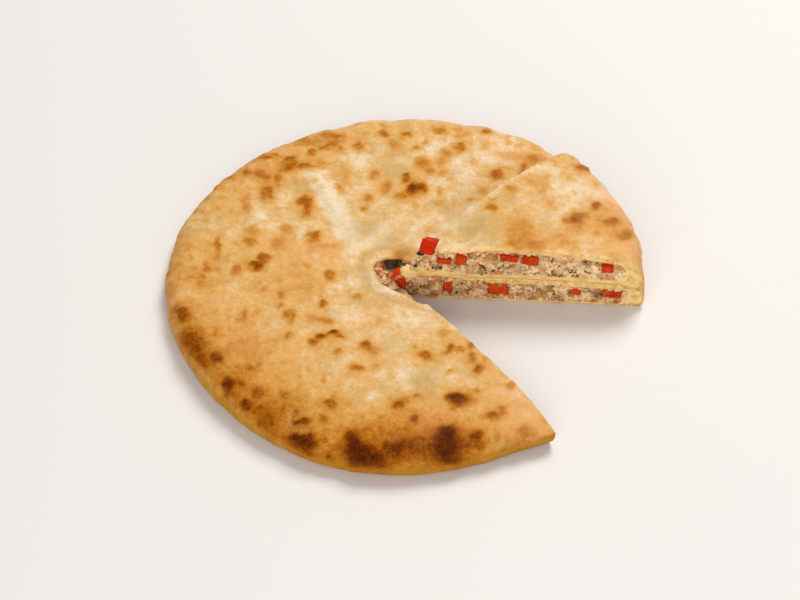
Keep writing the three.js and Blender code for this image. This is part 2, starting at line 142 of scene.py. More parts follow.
# Browned blisters of the pie's lid: column and row in the photograph, width and height in pixels, browning
PIE_BLISTERS = (
    (247, 173, 12, 6, 0.58), (261, 172, 14, 10, 0.42), (266, 177, 12, 9, 0.42), (278, 180, 10, 14, 0.48),
    (289, 164, 20, 14, 0.36), (291, 159, 14, 6, 0.42), (265, 158, 16, 5, 0.42), (275, 155, 8, 5, 0.35),
    (305, 142, 24, 8, 0.36), (330, 136, 28, 6, 0.42), (338, 138, 10, 6, 0.42), (327, 146, 16, 9, 0.52),
    (341, 150, 8, 8, 0.36), (311, 154, 8, 9, 0.58), (307, 166, 20, 7, 0.60), (288, 168, 12, 7, 0.32),
    (359, 146, 10, 12, 0.48), (384, 132, 9, 8, 0.52), (406, 136, 12, 8, 0.52), (395, 145, 10, 10, 0.36),
    (426, 141, 7, 7, 0.40), (417, 147, 8, 8, 0.40), (440, 131, 15, 7, 0.48), (423, 163, 16, 14, 0.48),
    (430, 172, 14, 6, 0.40), (406, 178, 10, 8, 0.60), (412, 190, 13, 14, 0.76), (423, 187, 12, 11, 0.64),
    (417, 189, 13, 12, 0.44), (401, 197, 12, 10, 0.46), (375, 176, 15, 8, 0.46), (384, 190, 12, 10, 0.50),
    (388, 184, 8, 8, 0.30), (369, 198, 10, 8, 0.42), (364, 208, 8, 7, 0.46), (339, 189, 7, 9, 0.42),
    (347, 176, 9, 24, 0.22), (267, 194, 14, 17, 0.52), (305, 203, 16, 15, 0.66), (307, 212, 11, 10, 0.46),
    (246, 207, 10, 14, 0.40), (248, 195, 8, 8, 0.26), (216, 187, 14, 6, 0.36), (228, 178, 14, 6, 0.36),
    (205, 198, 12, 6, 0.32), (463, 136, 16, 9, 0.32), (458, 128, 10, 4, 0.34), (487, 132, 12, 6, 0.54),
    (459, 148, 16, 9, 0.56), (446, 154, 12, 9, 0.46), (441, 162, 12, 8, 0.36), (444, 172, 10, 8, 0.32),
    (486, 146, 8, 10, 0.22), (508, 142, 6, 6, 0.24), (513, 157, 20, 11, 0.28), (533, 158, 13, 9, 0.52),
    (524, 167, 8, 12, 0.46), (521, 175, 8, 8, 0.42), (541, 160, 10, 8, 0.26), (497, 174, 14, 9, 0.62),
    (504, 168, 14, 4, 0.28), (483, 191, 10, 8, 0.36), (469, 201, 7, 5, 0.42), (440, 191, 7, 8, 0.28),
    (438, 203, 12, 8, 0.26), (415, 205, 8, 6, 0.26), (218, 245, 9, 21, 0.44), (208, 267, 8, 13, 0.40),
    (200, 280, 9, 18, 0.24), (237, 270, 11, 13, 0.50), (251, 243, 14, 10, 0.44), (251, 231, 12, 10, 0.32),
    (264, 258, 14, 10, 0.64), (256, 266, 17, 10, 0.72), (279, 243, 18, 12, 0.40), (287, 229, 14, 8, 0.38),
    (313, 238, 12, 8, 0.54), (318, 234, 10, 6, 0.46), (330, 247, 24, 8, 0.28), (330, 275, 11, 9, 0.48),
    (280, 295, 8, 8, 0.42), (280, 305, 7, 6, 0.42), (265, 289, 7, 5, 0.28), (290, 316, 13, 13, 0.52),
    (290, 337, 8, 7, 0.42), (324, 304, 9, 9, 0.54), (315, 319, 18, 9, 0.36), (326, 322, 16, 6, 0.42),
    (322, 336, 12, 6, 0.66), (334, 333, 12, 7, 0.76), (341, 338, 10, 6, 0.58), (314, 342, 13, 7, 0.54),
    (366, 344, 14, 11, 0.68), (373, 350, 15, 8, 0.48), (357, 297, 10, 6, 0.46), (339, 351, 10, 7, 0.40),
    (356, 368, 15, 8, 0.56), (331, 405, 14, 11, 0.54), (323, 419, 10, 8, 0.32), (304, 421, 17, 8, 0.74),
    (296, 413, 6, 8, 0.42), (183, 314, 13, 13, 0.66), (190, 338, 24, 20, 0.46), (198, 345, 18, 13, 0.50),
    (195, 354, 15, 13, 0.46), (204, 361, 14, 15, 0.60), (218, 358, 13, 11, 0.68),
    (215, 372, 20, 14, 0.24), (229, 384, 16, 14, 0.80), (230, 394, 16, 11, 0.52),
    (247, 405, 15, 12, 0.68), (250, 370, 12, 8, 0.48), (258, 391, 12, 10, 0.44), (241, 383, 12, 6, 0.38),
    (270, 423, 22, 15, 0.42), (262, 411, 24, 14, 0.30), (285, 397, 14, 7, 0.28), (244, 313, 8, 8, 0.32),
    (240, 320, 8, 6, 0.28), (216, 333, 7, 6, 0.28), (258, 311, 6, 5, 0.24), (299, 438, 27, 12, 0.80),
    (309, 445, 24, 18, 0.74), (294, 445, 16, 11, 0.50), (307, 454, 20, 9, 0.50), (329, 457, 11, 10, 0.58),
    (325, 440, 9, 7, 0.40), (352, 441, 18, 22, 0.80), (363, 456, 42, 31, 0.74), (361, 452, 26, 18, 0.72),
    (380, 462, 22, 20, 0.55), (393, 447, 22, 11, 0.56), (370, 430, 50, 16, 0.16),
    (410, 447, 46, 24, 0.46), (398, 455, 26, 14, 0.36), (447, 434, 20, 15, 0.84),
    (447, 447, 40, 37, 0.72), (444, 447, 26, 22, 0.74), (452, 461, 26, 14, 0.52), (477, 435, 14, 9, 0.70),
    (475, 443, 27, 13, 0.46), (398, 406, 12, 10, 0.64), (415, 418, 9, 10, 0.58), (405, 399, 24, 8, 0.26),
    (418, 396, 10, 4, 0.38), (456, 398, 22, 12, 0.84), (463, 402, 16, 9, 0.60), (453, 408, 9, 6, 0.38),
    (492, 415, 13, 10, 0.58), (503, 408, 9, 7, 0.54), (502, 414, 10, 6, 0.34), (526, 431, 22, 15, 0.38),
    (519, 441, 14, 8, 0.32), (509, 387, 12, 6, 0.48), (476, 392, 8, 5, 0.38), (470, 345, 9, 7, 0.58),
    (461, 350, 9, 6, 0.44), (450, 348, 10, 10, 0.60), (447, 353, 11, 6, 0.40), (445, 333, 14, 10, 0.28),
    (426, 356, 16, 9, 0.58), (416, 346, 7, 5, 0.30), (472, 358, 12, 13, 0.56), (478, 370, 12, 10, 0.66),
    (449, 372, 8, 6, 0.38), (379, 366, 10, 6, 0.22), (380, 321, 7, 8, 0.18),
)
# Broad paler and more baked zones of the pie's lid, with a few small painted highlights and one painted
# shade, as noted: column and row, width in pixels, change of baking
PIE_ZONES = (
    (312, 172, 14, -0.05), (300, 190, 18, 0.04), (356, 159, 22, -0.22), (365, 168, 16, -0.06),
    (262, 214, 28, -0.13), (286, 200, 18, -0.08), (232, 288, 30, -0.06), (215, 305, 24, -0.06),
    (190, 292, 16, -0.10), (225, 340, 22, -0.04), (208, 226, 40, -0.14), (440, 150, 40, -0.24),
    (500, 152, 40, -0.25), (470, 132, 34, -0.08), (556, 168, 24, -0.08), (460, 175, 26, -0.10),
    (300, 284, 44, 0.23), (300, 254, 34, 0.06), (331, 253, 22, 0.06), (265, 282, 22, 0.06),
    (266, 172, 26, 0.05), (290, 162, 22, 0.04), (320, 144, 28, 0.03), (192, 335, 30, 0.14),
    (212, 352, 26, 0.08), (240, 385, 34, 0.10), (260, 408, 40, 0.14), (280, 424, 40, 0.13),
    (250, 350, 46, 0.15), (300, 402, 40, 0.04), (340, 436, 36, 0.08), (402, 428, 40, 0.10),
    # (403, 253) on the next line darkens the vent's far lip where it turns down: painted shade
    (404, 450, 44, 0.18), (403, 253, 14, 0.60), (440, 424, 30, 0.08), (477, 440, 26, 0.08),
    (530, 414, 34, -0.10), (505, 394, 24, -0.10), (540, 438, 20, -0.04), (450, 382, 26, -0.08),
    # The four small pale zones on the next line are painted highlights: glints of light on the oily dough
    (403, 374, 9, -0.20), (409, 386, 8, -0.20), (371, 398, 11, -0.18), (381, 375, 7, -0.14),
    (374, 400, 24, -0.03), (360, 290, 26, 0.04), (330, 340, 30, 0.05), (450, 345, 24, 0.05),
    (175, 250, 14, 0.10), (170, 272, 13, 0.12), (169, 292, 13, 0.14), (171, 312, 14, 0.14),
    (385, 320, 44, 0.03), (382, 384, 30, 0.03), (254, 202, 22, -0.12), (240, 262, 24, -0.06),
    (296, 236, 14, -0.10), (500, 170, 18, -0.06), (562, 165, 16, -0.06), (345, 380, 26, -0.05),
    (370, 415, 22, -0.05), (358, 434, 16, -0.12), (478, 390, 18, -0.05), (525, 398, 20, -0.05),
    (290, 264, 18, 0.09), (316, 219, 13, 0.09), (414, 364, 18, 0.05), (366, 295, 22, 0.05),
    (210, 295, 22, 0.08), (242, 320, 22, 0.08), (280, 385, 26, 0.09), (340, 345, 16, 0.05),
    (425, 420, 20, 0.05), (505, 420, 20, 0.05), (452, 206, 14, -0.06), (480, 424, 14, -0.06),
    (450, 428, 12, -0.04), (330, 256, 14, 0.04), (290, 158, 22, -0.05), (322, 161, 12, -0.06),
    (378, 130, 20, -0.04), (426, 122, 24, -0.05), (546, 178, 14, -0.04), (560, 160, 16, -0.04),
    (264, 300, 16, -0.04), (230, 276, 18, -0.04),
)
# Greyish zones where the dough is thin, on the pie and on the slice, and a few painted shades, as noted:
# column and row, width in pixels, amount
PIE_THIN = (
    # (365, 228) on the next line is painted shade in the fold's right flank
    (388, 160, 36, 0.60), (395, 172, 30, 0.85), (365, 228, 26, 0.95), (392, 240, 28, 0.70),
    # On the next line, (404, 252) greys the vent's far lip and (299, 188) the fold's left flank: both painted
    # shade
    (404, 252, 12, 0.50), (364, 274, 20, 0.60), (299, 188, 18, 0.70), (300, 215, 16, 0.50),
    (365, 299, 24, 0.65), (358, 397, 16, 0.60), (424, 378, 28, 0.95), (430, 398, 24, 0.50),
    (392, 346, 30, 0.55), (386, 388, 26, 0.40), (352, 202, 16, 0.45), (374, 214, 20, 0.50),
    (466, 370, 18, 0.50), (330, 366, 26, 0.35), (474, 196, 30, 0.60), (450, 205, 26, 0.45),
    (212, 224, 30, 0.30), (330, 318, 26, 0.30), (455, 172, 20, 0.35), (480, 185, 18, 0.45),
    (396, 205, 20, 0.40), (375, 150, 18, 0.50), (300, 420, 18, 0.45), (250, 215, 16, 0.25),
)
SLICE_THIN = (
    (478, 226, 40, 0.95), (462, 220, 26, 0.80), (492, 240, 24, 0.60), (507, 198, 20, 0.60),
    (530, 196, 24, 0.30), (545, 225, 20, 0.35),
)
# Pinkish zones, on the pie and on the slice: column and row, width in pixels, amount
PIE_BLUSH = (
    (375, 176, 14, 0.40), (384, 188, 13, 0.35), (331, 252, 24, 0.40), (316, 318, 14, 0.40),
    (292, 314, 9, 0.20), (373, 349, 14, 0.40), (238, 270, 11, 0.30), (279, 243, 20, 0.35),
    (300, 254, 34, 0.40), (513, 156, 20, 0.50), (470, 345, 10, 0.25), (463, 402, 12, 0.30),
    (473, 360, 12, 0.35), (505, 150, 44, 0.32), (450, 128, 60, 0.16), (541, 158, 14, 0.40),
    (265, 172, 26, 0.25), (525, 412, 42, 0.50), (172, 300, 22, 0.30), (505, 390, 28, 0.45),
    (350, 165, 20, 0.14), (310, 166, 12, 0.30), (250, 195, 22, 0.30), (440, 422, 40, 0.30),
    (250, 345, 40, 0.20), (290, 360, 40, 0.15), (340, 140, 40, 0.20), (222, 300, 40, 0.20),
    (486, 372, 16, 0.35),
)
SLICE_BLUSH = (
    (580, 218, 14, 0.85), (612, 222, 14, 0.60), (627, 233, 14, 0.60), (612, 200, 44, 0.55),
    (628, 226, 40, 0.60), (588, 182, 40, 0.25), (566, 219, 9, 0.30), (521, 230, 28, 0.35),
    (562, 240, 20, 0.40), (632, 250, 26, 0.60), (590, 236, 30, 0.40), (545, 246, 30, 0.30),
    (550, 200, 40, 0.15),
)
# Zones and blisters of the slice's lid, given as the pie's
SLICE_ZONES = (
    (470, 215, 40, -0.02), (521, 230, 30, 0.12), (575, 188, 50, -0.14), (612, 198, 36, -0.14),
    (590, 168, 30, -0.06), (630, 230, 22, -0.03), (555, 215, 40, -0.03), (478, 228, 30, 0.05),
    (503, 196, 20, 0.04), (545, 236, 14, -0.05), (588, 206, 16, -0.04), (560, 243, 26, 0.03),
    (540, 248, 22, 0.14), (500, 248, 22, 0.12), (521, 246, 20, 0.18),
)
SLICE_BLISTERS = (
    (510, 189, 14, 8, 0.44), (492, 208, 10, 9, 0.52), (494, 199, 8, 5, 0.36), (529, 182, 14, 10, 0.24),
    (520, 231, 28, 24, 0.36), (583, 168, 17, 8, 0.60), (597, 206, 13, 10, 0.64), (571, 221, 10, 9, 0.34),
    (579, 218, 18, 13, 0.66), (565, 219, 7, 7, 0.42), (610, 223, 18, 13, 0.58), (614, 220, 10, 8, 0.40),
    (626, 234, 15, 12, 0.52), (597, 233, 8, 7, 0.28), (578, 232, 12, 8, 0.20), (560, 237, 14, 9, 0.26),
    (564, 243, 16, 6, 0.28), (546, 189, 12, 8, 0.16), (568, 177, 8, 6, 0.18), (594, 186, 8, 6, 0.24),
    (551, 205, 9, 8, 0.16), (598, 219, 7, 5, 0.20), (536, 246, 20, 7, 0.26), (512, 246, 14, 7, 0.18),
)

# Pepper dice by the cut they show at: heading of the cut, then how high each die sits in the uncut pie,
# and its width, height and depth
PEPPER = {
    "pie_far_cut_pepper": (FAR_CUT, ((11, 7, 11, 8), (11.6, 14, 9, 9), (11, 8, 6, 7), (10, 13, 6.5, 8))),
    "pie_near_cut_pepper": (NEAR_CUT, ((12, 12, 8, 8), (10.5, 9, 10, 8), (12, 13, 7, 8))),
    "slice_front_pepper": (
        NEAR_CUT + SLICE_TURN,
        ((10.5, 8, 4.5, 5.5), (12, 8, 9, 8), (15.6, 12, 6, 8), (15, 12, 7.5, 9), (12, 8, 7, 7)),
    ),
    "slice_back_pepper": (FAR_CUT + SLICE_TURN, ((12.5, 12, 8, 8), (11, 8, 9, 8), (12, 13, 7, 8))),
}
FACE_PEPPER = {
    "pie": ("pie_far_cut_pepper", "pie_near_cut_pepper"),
    "slice": ("slice_front_pepper", "slice_back_pepper"),
}
# Pepper dice in the vents: heading, tilt, width, height and depth, offset from its node's middle, redness
VENT_DICE = {
    "pie_vent_pepper": (-32.0, 0.0, (12, 8, 10), (2.0, -2.0, 0.0), 0.25),
    "slice_vent_pepper": (-28.0, -30.0, (9.2, 9.4, 9.4), (2.6, -0.8, 1.8), 0.85),
}
# Rounding of a die's edges, and how far it is tapered, sheared and bulged at most
DIE_ROUNDING, DIE_TAPER, DIE_SHEAR, DIE_BULGE = 1.0, 0.14, 0.12, 0.07


def amount_property(name, description, default, unit, least=0.0):
    """A number in the panel, with its least value."""
    return bpy.props.FloatProperty(name=name, description=description, default=default, min=least, unit=unit)


class PieSizes(bpy.types.PropertyGroup):
    """Sizes and amounts of the visible finish."""

    blister: amount_property(
        "Blister height", "How far a fully browned blister stands above the lid", 2.1 * MM, "LENGTH"
    )
    crumb: amount_property(
        "Mince crumb", "Distance between the crumbs of meat on a cut face", 4.0 * MM, "LENGTH", 1.0 * MM
    )
    fill_power: amount_property("Fill light", "Power of the soft light in front", 29.0, "POWER")
    key_power: amount_property("Key light", "Power of the soft light behind and to the right", 58.0, "POWER")


def colour_property(name, description, default):
    """A colour in the panel, held as linear red, green and blue."""
    return bpy.props.FloatVectorProperty(
        name=name,
        description=description,
        default=default,
        min=0.0,
        max=1.0,
        subtype="COLOR",
    )


class PieColours(bpy.types.PropertyGroup):
    """Colours of the crust, filling, pepper and floor."""

    # The whitest dough is a painted highlight, reached on the fold's ridge, the glint zones and the specks
    highlight_milk: colour_property("Milk", "Whitest dough where it catches the light", (0.92, 0.78, 0.58))
    dough: colour_property("Dough", "Palest baked dough", (0.89, 0.70, 0.46))
    straw: colour_property("Straw", "Lightly baked dough", (0.79, 0.47, 0.165))
    gold: colour_property("Gold", "Golden crust", (0.68, 0.315, 0.060))
    amber: colour_property("Amber", "Well baked crust", (0.50, 0.172, 0.009))
    caramel: colour_property("Caramel", "Browned blisters", (0.34, 0.086, 0.0015))
    brown: colour_property("Brown", "Browned crust", (0.16, 0.032, 0.0008))
    burnt: colour_property("Burnt", "Darkest blisters", (0.070, 0.011, 0.0008))
    # The thin dough colour also serves as painted shade in hollows, in the vent's groove, in the fold's
    # flanks and under the vent's far lip
    thin: colour_property("Thin dough", "Dough that the filling shows through", (0.61, 0.40, 0.145))
    blush: colour_property("Blush", "Peach-coloured baked dough", (0.88, 0.42, 0.17))
    butter: colour_property("Butter", "Yellow dough low on the front edge", (0.48, 0.255, 0.022))
    crumb: colour_property("Crumb", "Dough where it is cut", (0.95, 0.67, 0.27))
    meat: colour_property("Meat", "Cooked mince", (0.60, 0.265, 0.085))
    fat: colour_property("Fat", "Pale bits of the mince", (0.97, 0.68, 0.37))
    # The darkest mince colour is partly meat juice in the gaps and partly painted shade there
    gravy_and_shade: colour_property("Gravy", "Gaps between the bits of mince", (0.085, 0.028, 0.006))
    pepper_skin: colour_property("Pepper skin", "Skin of the red pepper", (0.62, 0.018, 0.001))
    pepper_dark: colour_property("Dark pepper", "Softened edges of the pepper", (0.33, 0.018, 0.001))
    pepper: colour_property("Pepper", "Red flesh of the pepper", (0.54, 0.038, 0.001))
    pepper_flesh: colour_property("Pepper flesh", "Orange flesh of the pepper", (0.66, 0.095, 0.002))
    green_pepper: colour_property("Green pepper", "Bits of yellowish green pepper", (0.40, 0.28, 0.040))
    onion: colour_property("Onion", "Bits of cooked onion", (0.82, 0.60, 0.33))
    herb: colour_property("Herb", "Flakes of dark green herbs", (0.020, 0.024, 0.006))
    floor: colour_property("Floor", "Plain floor", (0.80, 0.78, 0.765))


# Arithmetic on arrays of points


def smooth_step(value, low, high):
    """0 at low and below, 1 at high and above, with a smooth rise between them."""
    share = np.clip((value - low) / (high - low), 0.0, 1.0)
    return share * share * (3.0 - 2.0 * share)


def bell(value, width):
    """1 at 0, falling smoothly on both sides to nearly 0 at twice the width."""
    return np.exp(-((value / width) ** 2))


def ripple(points, length, seed, count=18):
    """A smooth seeded unevenness round 0 at points, with bumps about as wide as length."""
    random = np.random.default_rng(seed)
    heading = random.normal(size=(count, points.shape[1]))
    heading /= np.linalg.norm(heading, axis=1)[:, None]
    pace = 2.0 * math.pi / (length * random.uniform(0.7, 1.5, count))
    phase = random.uniform(0.0, 2.0 * math.pi, count)
    swing = np.sin(points @ (heading * pace[:, None]).T + phase)
    return swing.sum(axis=1) * math.sqrt(2.0 / count)


def view_axes():
    """The camera's right, up and back directions."""
    rise = math.radians(VIEW_RISE)
    right = np.array((1.0, 0.0, 0.0))
    up = np.array((0.0, math.sin(rise), math.cos(rise)))
    back = np.array((0.0, -math.cos(rise), math.sin(rise)))
    return right, up, back


def seen_at(column, row, height):
    """Where a pixel of the photograph falls on the level plane at height."""
    right, up, back = view_axes()
    pixel = PIXEL / VIEW_DISTANCE
    eye = VIEW_TARGET + back * VIEW_DISTANCE
    aside = (column - FRAME_WIDTH / 2.0) * pixel
    above = (FRAME_HEIGHT / 2.0 - row) * pixel
    aim = right * aside + up * above - back
    return (eye + aim * (height - eye[2]) / aim[2])[:2]


def seen_from(points):
    """Columns and rows at which points show in the photograph's frame."""
    right, up, back = view_axes()
    off = points - VIEW_TARGET
    scale = VIEW_DISTANCE / PIXEL / (VIEW_DISTANCE - off @ back)
    columns = FRAME_WIDTH / 2.0 + (off @ right) * scale
    rows = FRAME_HEIGHT / 2.0 - (off @ up) * scale
    return np.stack((columns, rows), axis=1)


# Form of the pie, as in the solid model


def crown_height(reach):
    """Height of the smooth lid at a distance from the middle."""
    dip = MIDDLE_DIP * bell(reach, MIDDLE_REACH)
    return CROWN - dip - RIM_FALL * (reach / (RADIUS - RIM_WIDTH)) ** 4


def outline_scale(heading):
    """How far the outline departs from a circle, towards a heading in radians."""
    grown = sum(height * np.cos(count * (heading - math.radians(at))) for count, height, at in LOBES)
    off = (heading - math.radians(FLAT_AT) + math.pi) % (2.0 * math.pi) - math.pi
    flat = FLAT_DEPTH * bell(off, math.radians(FLAT_WIDTH))
    return 1.0 + (grown - flat) / RADIUS


def beyond_middle(x, y):
    """Distance from the pie's middle, with the outline evened out to a circle."""
    return np.hypot(x, y) / outline_scale(np.arctan2(y, x))


def vent_place(x, y):
    """The vent's own two coordinates, which are 1 apart from its middle at its edge."""
    turn = math.radians(VENT_HEADING)
    along = (x - VENT_X) * math.cos(turn) + (y - VENT_Y) * math.sin(turn)
    aside = (y - VENT_Y) * math.cos(turn) - (x - VENT_X) * math.sin(turn)
    return along / (VENT_ACROSS / 2.0), aside / (VENT_DEEP / 2.0)


def side_of_line(x, y, heading):
    """Distance to the left of a line from the cuts' corner towards a heading in degrees."""
    turn = math.radians(heading)
    return (y - APEX[1]) * math.cos(turn) - (x - APEX[0]) * math.sin(turn)


def under_slice(x, y):
    """1 where the slice presses on the lid, 0 away from it."""
    inside_near = side_of_line(x, y, NEAR_CUT + SLICE_TURN)
    inside_far = -side_of_line(x, y, FAR_CUT + SLICE_TURN)
    inside = np.minimum(inside_near + PRESSED_PAST_NEAR, inside_far + PRESSED_PAST_FAR)
    return smooth_step(inside, 0.0, PRESSED_FADE)


def fold_gap(x, y, start, end):
    """Distance from the line of a fold."""
    run = np.array(end) - start
    share = np.clip(((x - start[0]) * run[0] + (y - start[1]) * run[1]) / (run @ run), 0.0, 1.0)
    return np.hypot(x - start[0] - share * run[0], y - start[1] - share * run[1])


def fold_height(x, y):
    """The low folds and hollows that run down the lid at the far left."""
    total = 0.0
    for start, end, wide, height in FOLDS:
        total = total + height * bell(fold_gap(x, y, start, end), wide)
    return total


def lid_relief(sector, x, y):
    """Waves, folds and the vent's rolled lip with the groove round it."""
    waves = 0.0
    for length, heading, phase, height in WAVES:
        turn = math.radians(heading)
        travel = (x * math.cos(turn) + y * math.sin(turn)) / length
        waves = waves + height * np.sin(2.0 * math.pi * travel + math.radians(phase))
    off = beyond_vent(sector, x, y)
    lip = LIP_HEIGHT * bell(off - LIP_WIDTH, LIP_WIDTH)
    groove = GROOVE_DEPTH * bell(off - GROOVE_FROM_VENT, GROOVE_WIDTH)
    rolled = SLICE_LIP_SHARE
    if sector.pressed:
        rolled = smooth_step(-side_of_line(x, y, NEAR_CUT), 2.0, 20.0)
    return waves + fold_height(x, y) + rolled * (lip - groove)


# A sector of the pie: the large one with the cut-out, or the slice


Sector = namedtuple("Sector", "name apex start end pressed base blisters zones thin blush seed")


def slice_apex():
    """Corner of the slice, where its two trimmed faces meet at the bottom."""
    near, far = math.radians(NEAR_CUT), math.radians(FAR_CUT)
    lines = np.array(((-math.sin(near), math.cos(near)), (math.sin(far), -math.cos(far))))
    return APEX + np.linalg.solve(lines, np.array((SLICE_NEAR_LOSS, SLICE_FAR_LOSS)))


def slice_matrix():
    """Turn and tilt of the slice about its corner."""
    middle = math.radians((NEAR_CUT + FAR_CUT) / 2.0 + SLICE_TURN)
    across = Vector((-math.sin(middle), math.cos(middle), 0.0))
    tilt = Matrix.Rotation(math.radians(SLICE_TILT), 3, across)
    return np.array(tilt @ Matrix.Rotation(math.radians(SLICE_TURN), 3, "Z"))


def lay_slice(points, lift):
    """Moves points of the slice from where it was cut to where it lies."""
    pivot = np.array((APEX[0], APEX[1], 0.0))
    shift = np.array((SLICE_SHIFT[0], SLICE_SHIFT[1], lift))
    return (points - pivot) @ slice_matrix().T + pivot + shift


def back_to_cut(x, y):
    """Where a place on the laid slice was before it was turned."""
    turn = -math.radians(SLICE_TURN)
    off = np.array((x, y)) - APEX - SLICE_SHIFT
    return (
        APEX[0] + off[0] * math.cos(turn) - off[1] * math.sin(turn),
        APEX[1] + off[0] * math.sin(turn) + off[1] * math.cos(turn),
    )


def lean_and_slump(points, apex):
    """Leans the slice's cut faces inward at the top and flattens its far rim corner."""
    middle = math.radians((NEAR_CUT + FAR_CUT) / 2.0)
    half = math.radians((FAR_CUT - NEAR_CUT) / 2.0)
    x, y, z = points[:, 0] - apex[0], points[:, 1] - apex[1], points[:, 2]
    ahead = x * math.cos(middle) + y * math.sin(middle)
    aside = y * math.cos(middle) - x * math.sin(middle)
    wide = np.maximum(ahead * math.tan(half), 0.5)
    narrowed = z * math.tan(math.radians(SLICE_LEAN)) / math.cos(half)
    aside = aside * np.clip(1.0 - narrowed / wide, 0.15, 1.0)
    x = apex[0] + ahead * math.cos(middle) - aside * math.sin(middle)
    y = apex[1] + ahead * math.sin(middle) + aside * math.cos(middle)
    out = np.hypot(x - APEX[0], y - APEX[1])
    round_share = (math.radians(FAR_CUT) - np.arctan2(y - APEX[1], x - APEX[0])) / (2.0 * half)
    sunk = smooth_step(out, SLUMP_FROM, RADIUS) * (1.0 - smooth_step(round_share, 0.0, 0.8))
    return np.stack((x, y, z * (1.0 - SLICE_SLUMP * sunk)), axis=1)


def outline_reach(apex, headings):
    """Distance from a corner to the pie's outline along headings in radians."""
    ahead = apex[0] * np.cos(headings) + apex[1] * np.sin(headings)
    reach = np.full_like(headings, RADIUS)
    for _ in range(5):
        x, y = apex[0] + reach * np.cos(headings), apex[1] + reach * np.sin(headings)
        edge = RADIUS * outline_scale(np.arctan2(y, x))
        reach = -ahead + np.sqrt(ahead**2 + edge**2 - apex @ apex)
    return reach


def vent_reach(sector, headings):
    """Distance from a sector's corner inside the vent to its ragged edge along headings in radians."""
    apex = sector.apex
    start = np.array(vent_place(apex[0], apex[1]))
    there = vent_place(apex[0] + np.cos(headings), apex[1] + np.sin(headings))
    step_x, step_y = there[0] - start[0], there[1] - start[1]
    a = step_x**2 + step_y**2
    b = start[0] * step_x + start[1] * step_y
    reach = (-b + np.sqrt(b * b - a * (start @ start - 1.0))) / a
    reach = reach * (1.0 + 0.035 * np.sin(5.0 * headings + 1.0) + 0.02 * np.sin(11.0 * headings))
    turned = np.degrees((headings + math.pi) % (2.0 * math.pi) - math.pi)
    if not sector.pressed:
        return reach * SLICE_VENT_SHARE * (1.0 - SLICE_VENT_CLOSED * smooth_step(turned, -26.0, -4.0))
    closed = smooth_step(-turned, -140.0, -50.0) * smooth_step(turned, -3.0, 15.0)
    opened = smooth_step(turned, -70.0, -53.0) * (turned < -30.0)
    return reach * (1.0 - VENT_FAR_CLOSED * closed + VENT_NEAR_OPENED * opened)


def beyond_vent(sector, x, y):
    """How far places lie outside a sector's vent, less than 0 inside it."""
    aside, ahead = x - sector.apex[0], y - sector.apex[1]
    return np.hypot(aside, ahead) - vent_reach(sector, np.arctan2(ahead, aside))


def base_top(sector, x, y):
    """Height of the base's inside: even under the pie, thicker towards the slice's tip."""
    if sector.pressed:
        return np.full_like(x, sector.base)
    gap = np.hypot(x - sector.apex[0], y - sector.apex[1])
    thicker = TIP_BASE * smooth_step(gap, -3.0, 7.0) * bell(gap, TIP_BASE_REACH)
    return sector.base + thicker * (1.0 + 0.22 * ripple(np.stack((x, y), axis=1), 9.0, 97))


def cut_sides(sector):
    """Each cut of a sector: the end of a row that lies on it, its heading and its outward direction."""
    for side, degrees, sign in ((0, sector.start, -1.0), (-1, sector.end, 1.0)):
        heading = math.radians(degrees)
        yield side, heading, sign * np.array((-math.sin(heading), math.cos(heading), 0.0))


def quarter_arc(stations):
    """Stations evenly spaced along a quarter of the rim's full curve: their shares of inset and of rise."""
    angle = np.linspace(math.pi / 2.0, 0.0, 800)
    power = 2.0 / RIM_FULLNESS
    inset = 1.0 - np.cos(angle).clip(0.0) ** power
    rise = np.sin(angle).clip(0.0) ** power
    run = np.concatenate(((0.0,), np.cumsum(np.hypot(np.diff(inset), np.diff(rise)))))
    at = np.linspace(0.0, run[-1], stations + 1)
    return np.interp(at, run, inset), np.interp(at, run, rise)


# Gathering a mesh


class Shell:
    """Points, their painted values and the triangles of one piece, gathered row by row."""

    def __init__(self, *values):
        self.points = []
        self.values = {name: [] for name in values}
        self.faces = []
        self.count = 0

    def add(self, points, **values):
        """Adds points with their values and gives their numbers."""
        self.points.append(points)
        for name, held in self.values.items():
            held.append(np.broadcast_to(values.get(name, 0.0), len(points)))
        self.count += len(points)
        return np.arange(self.count - len(points), self.count)

    def strip(self, first, second, first_at=None, second_at=None, flip=False):
        """Joins two rows of points with triangles, each row with its own number of points."""
        if first_at is None:
            first_at = np.linspace(0.0, 1.0, len(first))
        if second_at is None:
            second_at = np.linspace(0.0, 1.0, len(second))
        steps_first = (first_at[1:] + first_at[:-1]) / 2.0
        steps_second = (second_at[1:] + second_at[:-1]) / 2.0
        order = np.argsort(np.concatenate((steps_first, steps_second)), kind="stable")
        on_first = order < len(steps_first)
        i = np.cumsum(on_first) - on_first
        j = np.cumsum(~on_first) - ~on_first
        next_first = first[np.minimum(i + 1, len(first) - 1)]
        next_second = second[np.minimum(j + 1, len(second) - 1)]
        after = np.where(on_first, next_first, next_second)
        corners = (first[i], after, second[j]) if flip else (first[i], second[j], after)
        faces = np.stack(corners, axis=1)
        proper = (faces != np.roll(faces, 1, axis=1)).all(axis=1)
        self.faces.append(faces[proper])

    def join(self, rows):
        """Joins each row to the next."""
        for above, below in zip(rows, rows[1:]):
            self.strip(above, below)

    def all_points(self):
        """Every point gathered so far."""
        return np.concatenate(self.points)

    def all_faces(self):
        """Every triangle gathered so far."""
        return np.concatenate(self.faces)

    def all_values(self):
        """The painted values of every point."""
        return {name: np.concatenate(held) for name, held in self.values.items()}


def node_middle(name):
    """Middle of a node's solid."""
    low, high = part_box(name)
    return np.array((low + high) / 2.0) / MM


